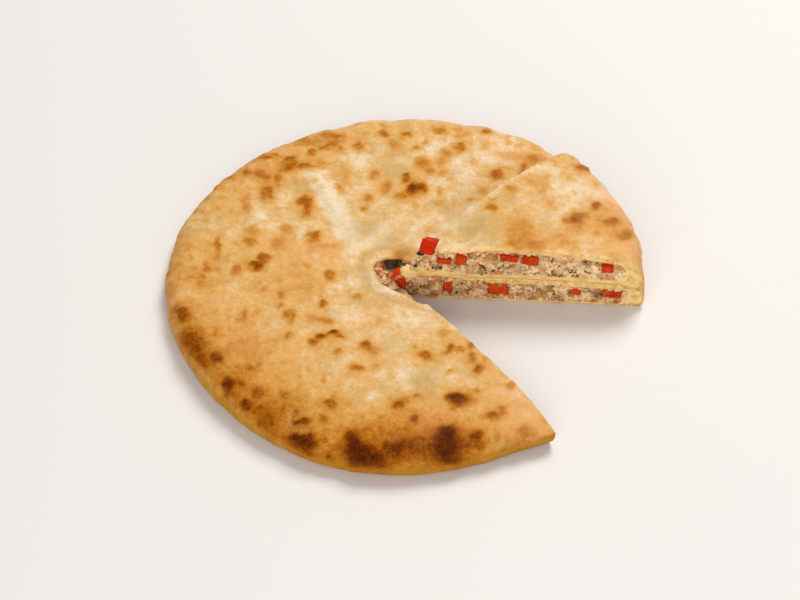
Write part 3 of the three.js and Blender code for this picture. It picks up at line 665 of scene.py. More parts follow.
def make_piece(name, points, faces, values, material, nodes):
    """Makes one mesh object on the pie's body from points in millimetres."""
    mesh = bpy.data.meshes.new(name)
    mesh.vertices.add(len(points))
    mesh.vertices.foreach_set("co", (np.asarray(points) * MM).astype(np.float32).ravel())
    mesh.loops.add(faces.size)
    mesh.loops.foreach_set("vertex_index", faces.astype(np.int32).ravel())
    mesh.polygons.add(len(faces))
    mesh.polygons.foreach_set("loop_start", np.arange(0, faces.size, 3, dtype=np.int32))
    for held, numbers in values.items():
        attribute = mesh.attributes.new(held, "FLOAT", "POINT")
        attribute.data.foreach_set("value", np.asarray(numbers).astype(np.float32))
    mesh.update(calc_edges=True)
    if mesh.validate():
        raise RuntimeError(f"{name} has faulty faces")
    mesh.shade_smooth()
    mesh.set_sharp_from_angle(angle=math.radians(SHARP_FROM))
    mesh.materials.append(material)
    piece = bpy.data.objects.new(name, mesh)
    bpy.context.scene.collection.objects.link(piece)
    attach(piece, "root")
    if nodes:
        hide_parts(*nodes)
    return piece


# Crust


def seen_on_lid(sector, column, row):
    """Where a pixel of the photograph falls on a sector's lid, before the slice was turned."""
    height = CROWN if sector.pressed else SLICE_LID
    for _ in range(5):
        x, y = seen_at(column, row, height)
        if not sector.pressed:
            x, y = back_to_cut(x, y)
        reach = beyond_middle(x, y)
        height = float(crown_height(reach))
        height -= float(rim_drop(reach, height))
        place = np.array((x, y, height))
        height = shown_place(sector, place[None])[0, 2]
    return place


def shown_place(sector, points):
    """Where points of a sector end up: the slice's are turned and laid on the pie."""
    return points if sector.pressed else settle_slice(points)


def rim_drop(reach, height):
    """How far the rounded rim falls below the lid's height towards the outline."""
    down = np.clip((reach - RADIUS + RIM_WIDTH) / RIM_WIDTH, 0.0, 0.98)
    return (height - RIM_WIDEST) * (1.0 - (1.0 - down**RIM_FULLNESS) ** (1.0 / RIM_FULLNESS))


def place_blisters(sector):
    """Place, middle and half sizes in pixels and browning of each blister, small seeded ones last."""
    spots = []
    for column, row, width, height, brown in sector.blisters:
        place = seen_on_lid(sector, column, row)
        spots.append((place, np.array((column, row)), np.array((width, height)) / 2.0, brown))
    random = np.random.default_rng(sector.seed)
    for _ in range(SMALL_BLISTERS[sector.name]):
        heading = np.array((random.uniform(math.radians(sector.start), math.radians(sector.end)),))
        reach = math.sqrt(random.uniform(0.06, 0.97)) * outline_reach(sector.apex, heading)
        place = on_lid(sector, heading, reach)
        place[:, 2] -= rim_drop(np.hypot(place[:, 0], place[:, 1]), place[:, 2])
        middle = seen_from(shown_place(sector, place))[0]
        spots.append((place[0], middle, random.uniform(1.8, 5.2, 2), random.uniform(0.03, 0.20)))
    return spots


def blister_fields(sector, points, spots):
    """Raise and browning of the lid at points, from the blisters round them."""
    raised = np.zeros(len(points))
    browned = np.zeros(len(points))
    flat = points[:, :2]
    warp = 0.60 * np.stack((ripple(flat, 7.0, 31), ripple(flat, 7.0, 32)), axis=1)
    warp += 0.75 * np.stack((ripple(flat, 17.0, 33), ripple(flat, 17.0, 34)), axis=1)
    seen = seen_from(shown_place(sector, points)) + warp
    for place, middle, half, brown in spots:
        reach = STAIN_REACH * PIXEL * half.max()
        far = np.linalg.norm(points - place, axis=1) / reach
        near = np.flatnonzero(far < 1.0)
        gap = np.linalg.norm((seen[near] - middle) / half, axis=1)
        dome = np.clip(1.0 - (gap / 1.3) ** 2, 0.0, None) ** 1.5
        stain = 0.60 * np.exp(-((gap / 0.94) ** 4.0)) + 0.36 * np.exp(-((gap / 1.35) ** 2.6))
        stain += 0.12 * bell(gap, 2.1)
        kept = 1.0 - smooth_step(far[near], 0.6, 1.0)
        height = (0.35 + 0.65 * brown) * min(1.0, half[0] / FULL_BLISTER)
        raised[near] = np.maximum(raised[near], kept * dome * height)
        browned[near] += (1.0 - browned[near]) * np.clip(kept * stain * brown, 0.0, 0.97)
    return raised, browned


def place_zones(sector, zones):
    """Places, reach and amount of a sector's broad zones."""
    placed = []
    for column, row, width, amount in zones:
        x, y, _ = seen_on_lid(sector, column, row)
        placed.append((x, y, ZONE_SHARE * PIXEL * width, amount))
    return placed


def tinted(points, zones, seed):
    """The strongest tint of zones at points, slightly uneven."""
    x, y = points[:, 0], points[:, 1]
    tint = np.zeros(len(points))
    for zone_x, zone_y, wide, amount in zones:
        tint = np.maximum(tint, amount * bell(np.hypot(x - zone_x, y - zone_y), wide))
    return tint * (0.95 + 0.12 * ripple(points[:, :2], 12.0, seed))


def tear_front_edge(points):
    """Rolls the slice's lid down along its front cut and leaves the edge ragged."""
    turn = math.radians(NEAR_CUT)
    near = 1.0 - smooth_step(side_of_line(points[:, 0], points[:, 1], NEAR_CUT), 0.0, 4.5)
    ragged = 0.8 * ripple(points[:, :2], 11.0, 71) + 0.6 * ripple(points[:, :2], 4.5, 72)
    outward = np.outer(near * (0.7 + ragged), (math.sin(turn), -math.cos(turn), 0.0))
    torn = points + outward
    torn[:, 2] -= (0.9 + 0.35 * ripple(points[:, :2], 6.0, 73)) * near**2
    return torn


# What the photograph shows on a sector's lid, found on it: blisters, zones, tints and the flake
Finish = namedtuple("Finish", "spots zones thin blush flake")


def read_finish(sector):
    """Finds a sector's blisters, zones, tints and flake on its lid."""
    zones = [place_zones(sector, held) for held in (sector.zones, sector.thin, sector.blush)]
    return Finish(place_blisters(sector), *zones, seen_on_lid(sector, *FLAKE_SEEN))


def baking(sector, points, zones, lumps):
    """How far the top of the crust is baked at points, before its blisters, with painted highlights on the
    lumps and along the fold's ridge.
    """
    x, y = points[:, 0], points[:, 1]
    reach = beyond_middle(x, y)
    front = 0.1
    if sector.pressed:
        front = 0.5 + 0.5 * np.cos(np.arctan2(y, x) - math.radians(BAKED_TOWARDS))
    rimward = smooth_step(reach, 80.0, 150.0)
    even = BAKE_MIDDLE + BAKE_MIDWAY * smooth_step(reach, 35.0, 110.0)
    even = even + (BAKE_RIM + BAKE_FRONT * front) * rimward
    even -= BAKE_LIP * bell(beyond_vent(sector, x, y) - LIP_WIDTH, LIP_WIDTH)
    for zone_x, zone_y, wide, change in zones:
        even += change * bell(np.hypot(x - zone_x, y - zone_y), wide)
    flat = points[:, :2]
    # Raised lumps are painted paler: a painted highlight on their tops
    even += 0.020 * ripple(flat, 30.0, 41) - 0.036 * lumps
    mottle = np.clip(ripple(flat, 11.0, 48) - 0.25, 0.0, None)
    even = np.maximum(even, BAKE_LEAST) + (0.025 + 0.045 * rimward) * mottle
    if not sector.pressed:
        return even
    # Paler along the fold's ridge: a painted highlight where the raised ridge catches the light
    edge = 1.3 * ripple(flat, 15.0, 45)
    fold = np.exp(-(((fold_gap(x, y, *FOLDS[0][:2]) + edge) / FOLD_HIGHLIGHT_WIDTH) ** 4))
    return even + fold * (BAKE_FOLD_HIGHLIGHT - even)


def lid_height(sector, x, y):
    """Height of the lid's top without its blisters."""
    relief = lid_relief(sector, x, y)
    if sector.pressed:
        pressed = under_slice(x, y)
        by_cut = 1.0 - smooth_step(side_of_line(x, y, FAR_CUT), 0.0, 30.0)
        relief = relief * (1.0 - pressed) - (PRESSED + PRESSED_AT_CUT * by_cut) * pressed
    return crown_height(beyond_middle(x, y)) + relief


def lid_depth(sector, x, y):
    """Thickness of the lid: more at the pie's far cut, less along the slice's front cut."""
    if sector.pressed:
        beside = 1.0 - smooth_step(side_of_line(x, y, FAR_CUT), 0.0, 20.0)
        beside = beside * smooth_step(x, 20.0, 26.0)
        return LID + beside * (1.1 - 3.6 * (1.0 - smooth_step(x, 28.0, 60.0)))
    turn = math.radians(NEAR_CUT)
    aside = side_of_line(x, y, NEAR_CUT)
    along = (x - APEX[0]) * math.cos(turn) + (y - APEX[1]) * math.sin(turn)
    thin = (1.0 - smooth_step(aside, 0.0, 16.0)) * (1.0 - smooth_step(along, 90.0, 104.0))
    return LID * (1.0 - 0.55 * thin)


NOSE = LID / 2.0
NOSE_ROWS, LID_ROWS, RIM_ROWS, FOOT_ROWS, UNDER_ROWS = 7, 104, 28, 8, 30
INNER_LID_ROWS, INNER_BASE_ROWS = 26, 12
RIM_INSET, RIM_RISE = quarter_arc(RIM_ROWS)
FOOT_INSET, FOOT_RISE = quarter_arc(FOOT_ROWS)


def spread(sector, headings, reach, height):
    """Points at distances from a sector's corner."""
    x = sector.apex[0] + reach * np.cos(headings)
    y = sector.apex[1] + reach * np.sin(headings)
    return np.stack((x, y, np.broadcast_to(height, x.shape)), axis=1)


def on_lid(sector, headings, reach, depth=0.0):
    """Points on the lid, or in it at a share of its depth."""
    points = spread(sector, headings, reach, 0.0)
    points[:, 2] = lid_height(sector, points[:, 0], points[:, 1])
    points[:, 2] -= depth * lid_depth(sector, points[:, 0], points[:, 1])
    return points


def rim_point(sector, headings, end, inset, low, rise_share, depth=0.0):
    """Points on the rounded rim above its widest line, outside or inside the crust."""
    points = spread(sector, headings, end - inset, 0.0)
    x, y = points[:, 0], points[:, 1]
    top = crown_height(RADIUS - RIM_WIDTH)
    smooth = low + (top - depth - low) * rise_share
    risen = lid_height(sector, x, y) - crown_height(beyond_middle(x, y))
    points[:, 2] = smooth + smooth_step(smooth, low, top - depth) * risen
    return points


def pinched(sector, headings):
    """How far the rim is pressed flat towards the pie's near corner, where its lid comes to a point."""
    if not sector.pressed:
        return np.zeros_like(headings)
    aside = RADIUS * np.sin(math.radians(NEAR_CUT + 360.0) - headings)
    return bell(aside, TIP_WIDTH) * (np.cos(headings - math.radians(NEAR_CUT)) > 0.0)


def shares_of(part, count):
    """Rows at even shares of the way along a part."""
    return [(part, number / count) for number in range(count)]


def stations_of(part, count):
    """Rows at the numbered stations of a rounded part."""
    return [(part, number) for number in range(count)]


def crust_rows():
    """The crust's outer rows from the vent's lip over the rim to the middle of the underside."""
    rows = shares_of("nose", NOSE_ROWS) + shares_of("lid", LID_ROWS)
    rows += stations_of("rim", RIM_ROWS) + stations_of("foot", FOOT_ROWS)
    return rows + shares_of("under", UNDER_ROWS)


def outer_row(sector, part, at, headings):
    """One outer row: points, outward directions and the matching points on the inside of the dough."""
    flat = pinched(sector, headings)
    edge = outline_reach(sector.apex, headings)
    end = edge - SIDE - TIP_DRAWN * flat
    reach = edge + TIP_REACH * flat
    widest = RIM_WIDEST * (1.0 + TIP_LIFT * flat)
    foot = RIM_FOOT * (1.0 + TIP_UNDERCUT * flat)
    lid_from = vent_reach(sector, headings) + NOSE
    if part == "nose":
        angle = -math.pi / 2.0 - math.pi * at
        half = lid_depth(sector, *spread(sector, headings, lid_from, 0.0)[:, :2].T) / 2.0
        points = on_lid(sector, headings, lid_from, 0.5)
        inside = on_lid(sector, headings, lid_from, 1.0)
        points += spread(sector, headings, half * math.cos(angle), half * math.sin(angle))
        points[:, :2] -= sector.apex
        slant = (math.cos(angle), math.sin(angle))
    elif part == "lid":
        points = on_lid(sector, headings, lid_from + at * (reach - RIM_WIDTH - lid_from))
        inside = on_lid(sector, headings, lid_from + at * (end - FILLING_SHOULDER - lid_from), 1.0)
        slant = (0.0, 1.0)
    elif part == "rim":
        inset, rise = RIM_INSET[at], RIM_RISE[at]
        pressed = rise + TIP_FLAT * flat * (0.04 + 0.96 * inset - rise)
        points = rim_point(sector, headings, reach, RIM_WIDTH * inset, widest, pressed)
        inside = rim_point(sector, headings, end, FILLING_SHOULDER * inset, FILLING_WIDEST, rise, LID)
        slant = (0.05 + RIM_RISE[0] - rise, 1.0 - RIM_INSET[0] + inset)
    elif part == "foot":
        inset, rise = FOOT_INSET[at], FOOT_RISE[at]
        points = spread(sector, headings, reach - foot * (1.0 - rise), widest * inset)
        low = sector.base + (FILLING_WIDEST - sector.base) * inset
        inside = spread(sector, headings, end - FILLING_FOOT * (1.0 - rise), low)
        slant = (inset, rise - 1.0)
    else:
        points = spread(sector, headings, (reach - foot) * (1.0 - at), 0.0)
        inside = spread(sector, headings, (end - FILLING_FOOT) * (1.0 - at), 0.0)
        inside[:, 2] = base_top(sector, inside[:, 0], inside[:, 1])
        slant = (0.0, -1.0)
    aside, above = np.array(slant) / math.hypot(*slant)
    level = np.full_like(headings, above)
    outward = np.stack((aside * np.cos(headings), aside * np.sin(headings), level), axis=1)
    return points, outward, inside


def half_way(sector):
    """The heading in radians half-way between a sector's two cuts, as an array of one."""
    return np.array((math.radians(sector.start + sector.end) / 2.0,))


def fan(sector, middle, cell):
    """Headings in radians for a row that runs through a middle point, one for about each cell."""
    length = math.radians(sector.end - sector.start) * math.hypot(*(middle[:2] - sector.apex))
    count = max(12, round(length / cell))
    return np.linspace(math.radians(sector.start), math.radians(sector.end), count + 1)


def dough_lumps(points):
    """Lumps of the dough at points, coarse to fine."""
    return 0.60 * ripple(points, 17.0, 51) + 0.50 * ripple(points, 8.0, 52) + 0.32 * ripple(points, 3.8, 53)


def raise_dough(sector, part, points, outward, blisters, lumps, flake):
    """A row's points with lumps and blisters, which are low under the slice and on the far rim."""
    if part == "rim":
        blisters = blisters * (1.0 - 0.85 * smooth_step(points[:, 1], 20.0, 60.0))
    free = 1.0 - 0.8 * under_slice(points[:, 0], points[:, 1]) if sector.pressed else 1.0
    stands = blisters + 0.38 * ripple(points, 24.0, 50) + 0.34 * lumps
    points = points + outward * (RELIEF[part] * free * stands)[:, None]
    if not sector.pressed and part in ("lid", "rim"):
        near = ((points[:, :2] - flake[:2]) ** 2).sum(axis=1) / FLAKE_WIDTH**2
        points[:, 2] += FLAKE_HEIGHT * np.exp(-near * near)
    points[:, 2] = np.maximum(points[:, 2], 0.0)
    return points


def paint_dough(sector, part, at, points, lumps, browned, finish):
    """Baking and tints of a row's points: browned blisters, thin and blushing dough, grey painted shade in
    the lumps' hollows and the vent's groove, a yellow low edge.
    """
    bake = side_baking(sector, part, at, baking(sector, points, finish.zones, lumps), points)
    down = at / RIM_ROWS if part == "rim" else float(part in ("foot", "under"))
    kept = 1.0 - 0.55 * smooth_step(down, 0.78, 0.97) - 0.45 * (part == "under")
    yellow = 0.50 + 0.13 * ripple(points, 10.0, 54)
    yellow *= smooth_step(down, 0.66, 1.0) * smooth_step(-points[:, 1], 30.0, 110.0)
    yellow *= np.clip(1.0 - 0.8 * browned, 0.0, 1.0)
    paint = {"bake": bake + (1.0 - bake) * browned * kept}
    paint["edge"] = yellow * (sector.pressed and part != "under")
    if part in ("nose", "lid", "rim"):
        off = beyond_vent(sector, points[:, 0], points[:, 1])
        # Painted shade: the hollows between lumps are greyed like thin dough
        thin = 0.18 * smooth_step(-lumps, 0.3, 1.6)
        # Painted shade: the groove round the pie's vent is greyed like thin dough
        thin += 0.75 * sector.pressed * bell(off - GROOVE_SHADE_FROM_VENT, GROOVE_WIDTH)
        thin = np.maximum(tinted(points, finish.thin, 47), thin)
        paint["thin"] = thin * np.clip(1.0 - 1.6 * browned, 0.0, 1.0)
        paint["blush"] = tinted(points, finish.blush, 49) * np.clip(1.0 - 0.95 * browned, 0.0, 1.0)
    if not sector.pressed and part in ("lid", "rim"):
        aside = side_of_line(points[:, 0], points[:, 1], NEAR_CUT) + 1.2 * ripple(points, 9.0, 74)
        paint["cut"] = 0.75 * (1.0 - smooth_step(aside, 1.0, 4.0))
    return paint


def crust_shell(sector, blister):
    """The dough of a sector as one closed mesh with its baking painted on."""
    shell = Shell(*CRUST_PAINT)
    finish = read_finish(sector)
    outer, partners = [], []
    for part, at in crust_rows():
        middle = outer_row(sector, part, at, half_way(sector))[0][0]
        headings = fan(sector, middle, HIDDEN_CELL if part == "under" else LID_CELL)
        points, outward, inside = outer_row(sector, part, at, headings)
        raised, browned = blister_fields(sector, points, finish.spots)
        lumps = dough_lumps(points)
        points = raise_dough(sector, part, points, outward, blister * raised, lumps, finish.flake)
        paint = paint_dough(sector, part, at, points, lumps, browned, finish)
        if not sector.pressed and part in ("lid", "rim"):
            points = tear_front_edge(points)
        outer.append(shell.add(points, **paint))
        partners.append(inside[[0, -1]])
    outer.append(shell.add(spread(sector, np.zeros(1), 0.0, 0.0), bake=0.5))
    shell.join(outer)
    tip = spread(sector, np.zeros(1), 0.0, base_top(sector, *sector.apex[:, None]))
    inner = [shell.add(tip, cut=1.0, bake=0.2)] + inner_rows(shell, sector)
    shell.join(inner + outer[:1])
    partners.append(np.repeat(tip, 2, axis=0))
    cut_faces(shell, sector, outer, inner, np.array(partners))
    return shell


def side_baking(sector, part, at, bake, points):
    """Baking of the rim's pale side, its browned bottom edge and the underside."""
    front = 0.5 - 0.5 * np.sin(np.arctan2(points[:, 1], points[:, 0])) if sector.pressed else 0.3
    flat = points[:, :2]
    side = BAKE_SIDE + BAKE_FRONT_SIDE * front**2 + 0.03 * ripple(flat, 14.0, 46)
    if part == "rim":
        low = smooth_step(at / RIM_ROWS, 0.70, 0.92)
        return bake * (1.0 - low) + side * low
    if part == "foot":
        low = smooth_step(at / FOOT_ROWS, 0.35, 0.9)
        return side * (1.0 - low) + BAKE_FOOT * low
    if part == "under":
        return BAKE_UNDER + 0.10 * ripple(flat, 16.0, 43) + 0.05 * ripple(flat, 5.0, 44)
    return bake


def inner_rows(shell, sector):
    """Rows of the inside of the dough, from the middle of the base round to the vent's lip."""
    rows = shares_of("lid", INNER_LID_ROWS)[1:] + stations_of("rim", RIM_ROWS)[::4]
    rows += stations_of("foot", FOOT_ROWS)[::2] + shares_of("under", INNER_BASE_ROWS)
    made = []
    for part, at in reversed(rows):
        middle = outer_row(sector, part, at, half_way(sector))[2][0]
        headings = fan(sector, middle, HIDDEN_CELL)
        made.append(shell.add(outer_row(sector, part, at, headings)[2], cut=1.0))
    return made


CUT_LAYERS = 6


def run_shares(points):
    """How far along a line each of its points lies, from 0 to 1."""
    steps = np.linalg.norm(np.diff(points, axis=0), axis=1)
    along = np.concatenate(((0.0,), np.cumsum(steps)))
    return along / along[-1]


def cut_faces(shell, sector, outer, inner, partners):
    """The two cut faces of the dough, slightly crumbly, between its outside and its inside."""
    points = shell.all_points()
    shares = np.arange(1, CUT_LAYERS) / CUT_LAYERS
    corner = np.outer(1.0 - shares, points[outer[-1][0]]) + np.outer(shares, points[inner[0][0]])
    corner = shell.add(corner, cut=1.0)
    for side, _, outward in cut_sides(sector):
        outside = np.array([row[side] for row in outer])
        inside = np.array([outer[0][side]] + [row[side] for row in reversed(inner)])
        layers = [outside]
        for layer, share in enumerate(shares, start=1):
            between = points[outside] * (1.0 - share) + partners[:, side] * share
            flaky = (1 if layer % 2 else -1) * (0.6 + 0.4 * ripple(between, 22.0, 67))
            rough = 0.22 * ripple(between, 3.0, 61 + layer) + 0.25 * ripple(between, 9.0, 66) + 0.22 * flaky
            between = between + outward * (rough * 4.0 * share * (1.0 - share))[:, None]
            mottle = 0.28 + 0.05 * flaky + 0.10 * ripple(between, 6.0, 68) + 0.07 * ripple(between, 2.2, 69)
            held = shell.add(between[1:-1], cut=1.0, bake=mottle[1:-1])
            layers.append(np.concatenate((outside[:1], held, corner[layer - 1 : layer])))
        for above, below in zip(layers, layers[1:]):
            shell.strip(above, below, flip=side != 0)
        run, inside_run = run_shares(partners[:, side]), run_shares(points[inside])
        shell.strip(layers[-1], inside, run, inside_run, flip=side != 0)


# Filling


def crumb_field(places, spacing, seed):
    """Crumbs of mince at places on a face: how proud a place is, its crumb's tone, and how dark its gap is
    painted, partly as meat juice and partly as shade.
    """
    random = np.random.default_rng(seed)
    low, high = places.min(axis=0) - spacing, places.max(axis=0) + spacing
    columns, rows = np.ceil((high - low) / spacing).astype(int) + 1
    grid = np.stack(np.meshgrid(np.arange(columns), np.arange(rows), indexing="ij"), axis=-1).reshape(-1, 2)
    seeds = low + (grid + random.uniform(-0.48, 0.48, grid.shape)) * spacing
    radius = spacing * random.uniform(0.62, 1.25, len(seeds))
    lift = random.uniform(-0.35, 0.35, len(seeds))
    tone = random.uniform(0.0, 1.0, len(seeds))
    warp = [ripple(places, 1.3 * spacing, seed + 1), ripple(places, 1.3 * spacing, seed + 2)]
    warped = places + 0.3 * spacing * np.stack(warp, axis=1)
    height = np.full(len(places), -0.8)
    second = height.copy()
    owner = np.zeros(len(places), int)
    for number, (middle, wide) in enumerate(zip(seeds, radius)):
        near = np.flatnonzero((np.abs(warped - middle) < wide).all(axis=1))
        gap = np.linalg.norm(warped[near] - middle, axis=1) / wide
        near, gap = near[gap < 1.0], gap[gap < 1.0]
        bump_height = np.sqrt(1.0 - gap**2) - 0.4 + lift[number]
        above = bump_height > height[near]
        second[near] = np.where(above, height[near], np.maximum(second[near], bump_height))
        height[near] = np.where(above, bump_height, height[near])
        owner[near[above]] = number
    # The gaps between crumbs and the low places are painted dark: partly meat juice, partly painted shade
    crease = np.exp(-(height - second) / CREASE_WIDTH)
    dark = 0.45 + 0.55 * smooth_step(ripple(places, 3.5 * spacing, seed + 3), -1.3, 0.7)
    return height, tone[owner], np.maximum(crease * dark, smooth_step(-height, 0.2, 0.6))


TOP_FINE, TOP_HIDDEN, SIDE_ROWS, BOTTOM_ROWS = 52, 26, 7, 12
SIDE_INSET, SIDE_RISE = quarter_arc(SIDE_ROWS)
VENT_MARGIN = 7.0
FACE_ROWS = 30


def vent_hollow_and_shade(x, y):
    """1 in the middle of the hollow of the pie's open vent, where the filling sinks and is painted dark as
    shade, 0 away from it.
    """
    middle = seen_at(*HOLLOW_SEEN, CROWN - LID - VENT_DIMPLE)
    return bell(np.hypot(x - middle[0], y - middle[1]), HOLLOW_WIDTH)


def filling_top(sector, x, y):
    """Height of the filling's top, which sinks in the open vent and meets the slice where that lies on it."""
    off = beyond_vent(sector, x, y)
    dimple = VENT_DIMPLE if sector.pressed else SLICE_DIMPLE
    sunk = lid_depth(sector, x, y) + TOUCH + dimple * (1.0 - smooth_step(off, -9.0, 2.0))
    if sector.pressed:
        sunk = sunk + HOLLOW_DEPTH * vent_hollow_and_shade(x, y) * (1.0 - smooth_step(off, -2.0, 3.0))
        inside_near = side_of_line(x, y, NEAR_CUT + SLICE_TURN)
        inside_far = -side_of_line(x, y, FAR_CUT + SLICE_TURN)
        covered = smooth_step(np.minimum(inside_near, inside_far), -3.0, 3.0)
        covered = covered * (1.0 - smooth_step(off, -2.5, -0.5))
        sunk = sunk + covered * (0.3 - sunk)
    return lid_height(sector, x, y) - sunk


def filling_row(sector, part, at, headings):
    """One row of the filling's hidden outside or of its top in the vent."""
    end = outline_reach(sector.apex, headings) - SIDE - TOUCH - TIP_DRAWN * pinched(sector, headings)
    shoulder = end - FILLING_SHOULDER
    edge = vent_reach(sector, headings) + VENT_MARGIN
    low = sector.base + TOUCH
    if part in ("vent", "top"):
        reach = at * edge if part == "vent" else edge + at * (shoulder - edge)
        points = spread(sector, headings, reach, 0.0)
        points[:, 2] = filling_top(sector, points[:, 0], points[:, 1])
        return points
    if part == "shoulder":
        inset = FILLING_SHOULDER * SIDE_INSET[at]
        return rim_point(sector, headings, end, inset, FILLING_WIDEST, SIDE_RISE[at], LID + TOUCH)
    if part == "foot":
        height = low + (FILLING_WIDEST - low) * SIDE_INSET[at]
        return spread(sector, headings, end - FILLING_FOOT * (1.0 - SIDE_RISE[at]), height)
    points = spread(sector, headings, (end - FILLING_FOOT) * (1.0 - at), 0.0)
    points[:, 2] = base_top(sector, points[:, 0], points[:, 1]) + TOUCH
    return points


def filling_shell(sector, crumb):
    """The filling of a sector as one closed mesh, crumbly where it shows."""
    shell = Shell("tone", "crease")
    rows = shares_of("vent", TOP_FINE)[1:] + shares_of("top", TOP_HIDDEN)
    rows += stations_of("shoulder", SIDE_ROWS) + stations_of("foot", SIDE_ROWS)
    rows += shares_of("bottom", BOTTOM_ROWS)
    made = []
    for part, at in rows:
        middle = filling_row(sector, part, at, half_way(sector))[0]
        headings = fan(sector, middle, FACE_CELL if part == "vent" else HIDDEN_CELL)
        made.append(filling_row(sector, part, at, headings))
    shown = np.concatenate(made[: TOP_FINE - 1])
    lift, tones, creases = crumb_field(shown[:, :2], crumb, sector.seed + 5)
    start = spread(sector, np.zeros(1), 0.0, 0.0)
    start[:, 2] = filling_top(sector, start[:, 0], start[:, 1])
    outer = [shell.add(start, tone=0.5)]
    first = 0
    for (part, at), points in zip(rows, made):
        tone, crease = 0.5, 0.0
        if part == "vent":
            span = slice(first, first + len(points))
            first += len(points)
            tone, crease = tones[span], creases[span]
            points[:, 2] += (1.0 - smooth_step(at, 0.8, 1.0)) * (1.2 * lift[span] - 0.4)
            if sector.pressed:
                # Painted shade: the mince deep in the vent's hollow, under its far lip, takes the dark colour
                # of the gaps
                crease = np.maximum(crease, 2.1 * vent_hollow_and_shade(points[:, 0], points[:, 1]) - 0.62)
        outer.append(shell.add(points, tone=tone, crease=crease))
    outer.append(shell.add(filling_row(sector, "bottom", 1.0, np.zeros(1)), tone=0.5))
    shell.join(outer)
    filling_faces(shell, sector, outer, crumb)
    return shell


def sink_round_dice(push, places, sector, side, heading):
    """Sets a cut face back behind its pepper dice, with mince lapping over their edges here and there."""
    group = FACE_PEPPER[sector.name][side]
    lapped = 0.75 * ripple(places, 4.2, sector.seed + 51)
    for number, (height, wide, tall, _) in enumerate(PEPPER[group][1], start=1):
        x, y, z = node_middle(f"{group}_{number}")
        if not sector.pressed:
            x, y = back_to_cut(x, y)
            height += z - settle_slice(np.array(((x, y, height),)))[0, 2]
        along = (x - sector.apex[0]) * math.cos(heading) + (y - sector.apex[1]) * math.sin(heading)
        off = np.abs(places - (along, height)) - (wide / 2.0, tall / 2.0)
        outside = off.max(axis=1) + lapped
        inside = 1.0 - smooth_step(outside, -0.4, 0.5)
        beside = (1.0 - smooth_step(outside, 0.4, 2.2)) * (1.0 - inside)
        push = (push + 0.35 * beside) * (1.0 - inside) - 1.6 * inside
    return push


def filling_faces(shell, sector, outer, crumb):
    """The two cut faces of the filling, with proud crumbs and gaps between them."""
    points = shell.all_points()
    top_corner, bottom_corner = points[outer[0][0]], points[outer[-1][0]]
    shares = (np.arange(FACE_ROWS) + 0.5) / FACE_ROWS
    corner = shell.add(bottom_corner + shares[:, None] * (top_corner - bottom_corner), tone=0.5)
    widest = TOP_FINE + TOP_HIDDEN + SIDE_ROWS
    for side, heading, outward in cut_sides(sector):
        rim = np.array([row[side] for row in outer])
        reach = np.hypot(*(points[rim][:, :2] - sector.apex).T)
        top, top_reach = rim[: widest + 1], reach[: widest + 1]
        bottom, bottom_reach = rim[: widest - 1 : -1], reach[: widest - 1 : -1]
        end = reach[widest]
        stations = np.arange(1, round((end - 0.4) / FACE_CELL)) * FACE_CELL
        high = np.interp(stations, top_reach, points[top][:, 2])
        low = np.interp(stations, bottom_reach, points[bottom][:, 2])
        across, up = np.meshgrid(stations, shares)
        height = low + up * (high - low)
        places = np.stack((across.ravel(), height.ravel()), axis=1)
        proud, tone, crease = crumb_field(places, crumb, sector.seed + 11 + side)
        clump = ripple(places, 10.0, sector.seed + 31 + side)
        tone = 0.75 * tone + 0.16 + 0.16 * clump
        # Cracks between clumps are set back and painted dark: partly meat juice, partly painted shade
        crack = bell(clump, 0.13) * smooth_step(ripple(places, 16.0, sector.seed + 41), -0.6, 0.8)
        crease = np.maximum(crease, 0.8 * crack)
        push = 1.5 * proud - 0.4 + 0.30 * ripple(places, 14.0, sector.seed + 21) - 0.5 * crack
        push = push * smooth_step(places[:, 0], 0.0, 4.0)
        push = sink_round_dice(push, places, sector, side, heading)
        grid = spread(sector, np.full(len(places), heading), places[:, 0], 0.0)
        grid[:, 2] = places[:, 1]
        grid += outward * push[:, None]
        held = shell.add(grid, tone=tone, crease=crease).reshape(FACE_ROWS, len(stations))
        lines = np.concatenate((corner[:, None], held), axis=1)
        for below, above in zip(lines, lines[1:]):
            shell.strip(below, above, flip=side == 0)
        line_at = np.concatenate(((0.0,), stations)) / end
        shell.strip(lines[-1], top, line_at, top_reach / end, flip=side == 0)
        shell.strip(bottom, lines[0], bottom_reach / end, line_at, flip=side == 0)
        shell.strip(lines[:, -1], rim[widest : widest + 1], flip=side != 0)


# Shader groups and materials


def feed(tree, socket, value):
    """Feeds an input from another socket, or with a plain number or colour."""
    if isinstance(value, bpy.types.NodeSocket):
        tree.links.new(value, socket)
    else:
        socket.default_value = value


def math_node(tree, operation, *values):
    """A math node fed by sockets or plain numbers."""
    node = tree.nodes.new("ShaderNodeMath")
    node.operation = operation
    for socket, value in zip(node.inputs, values):
        feed(tree, socket, value)
    return node.outputs[0]


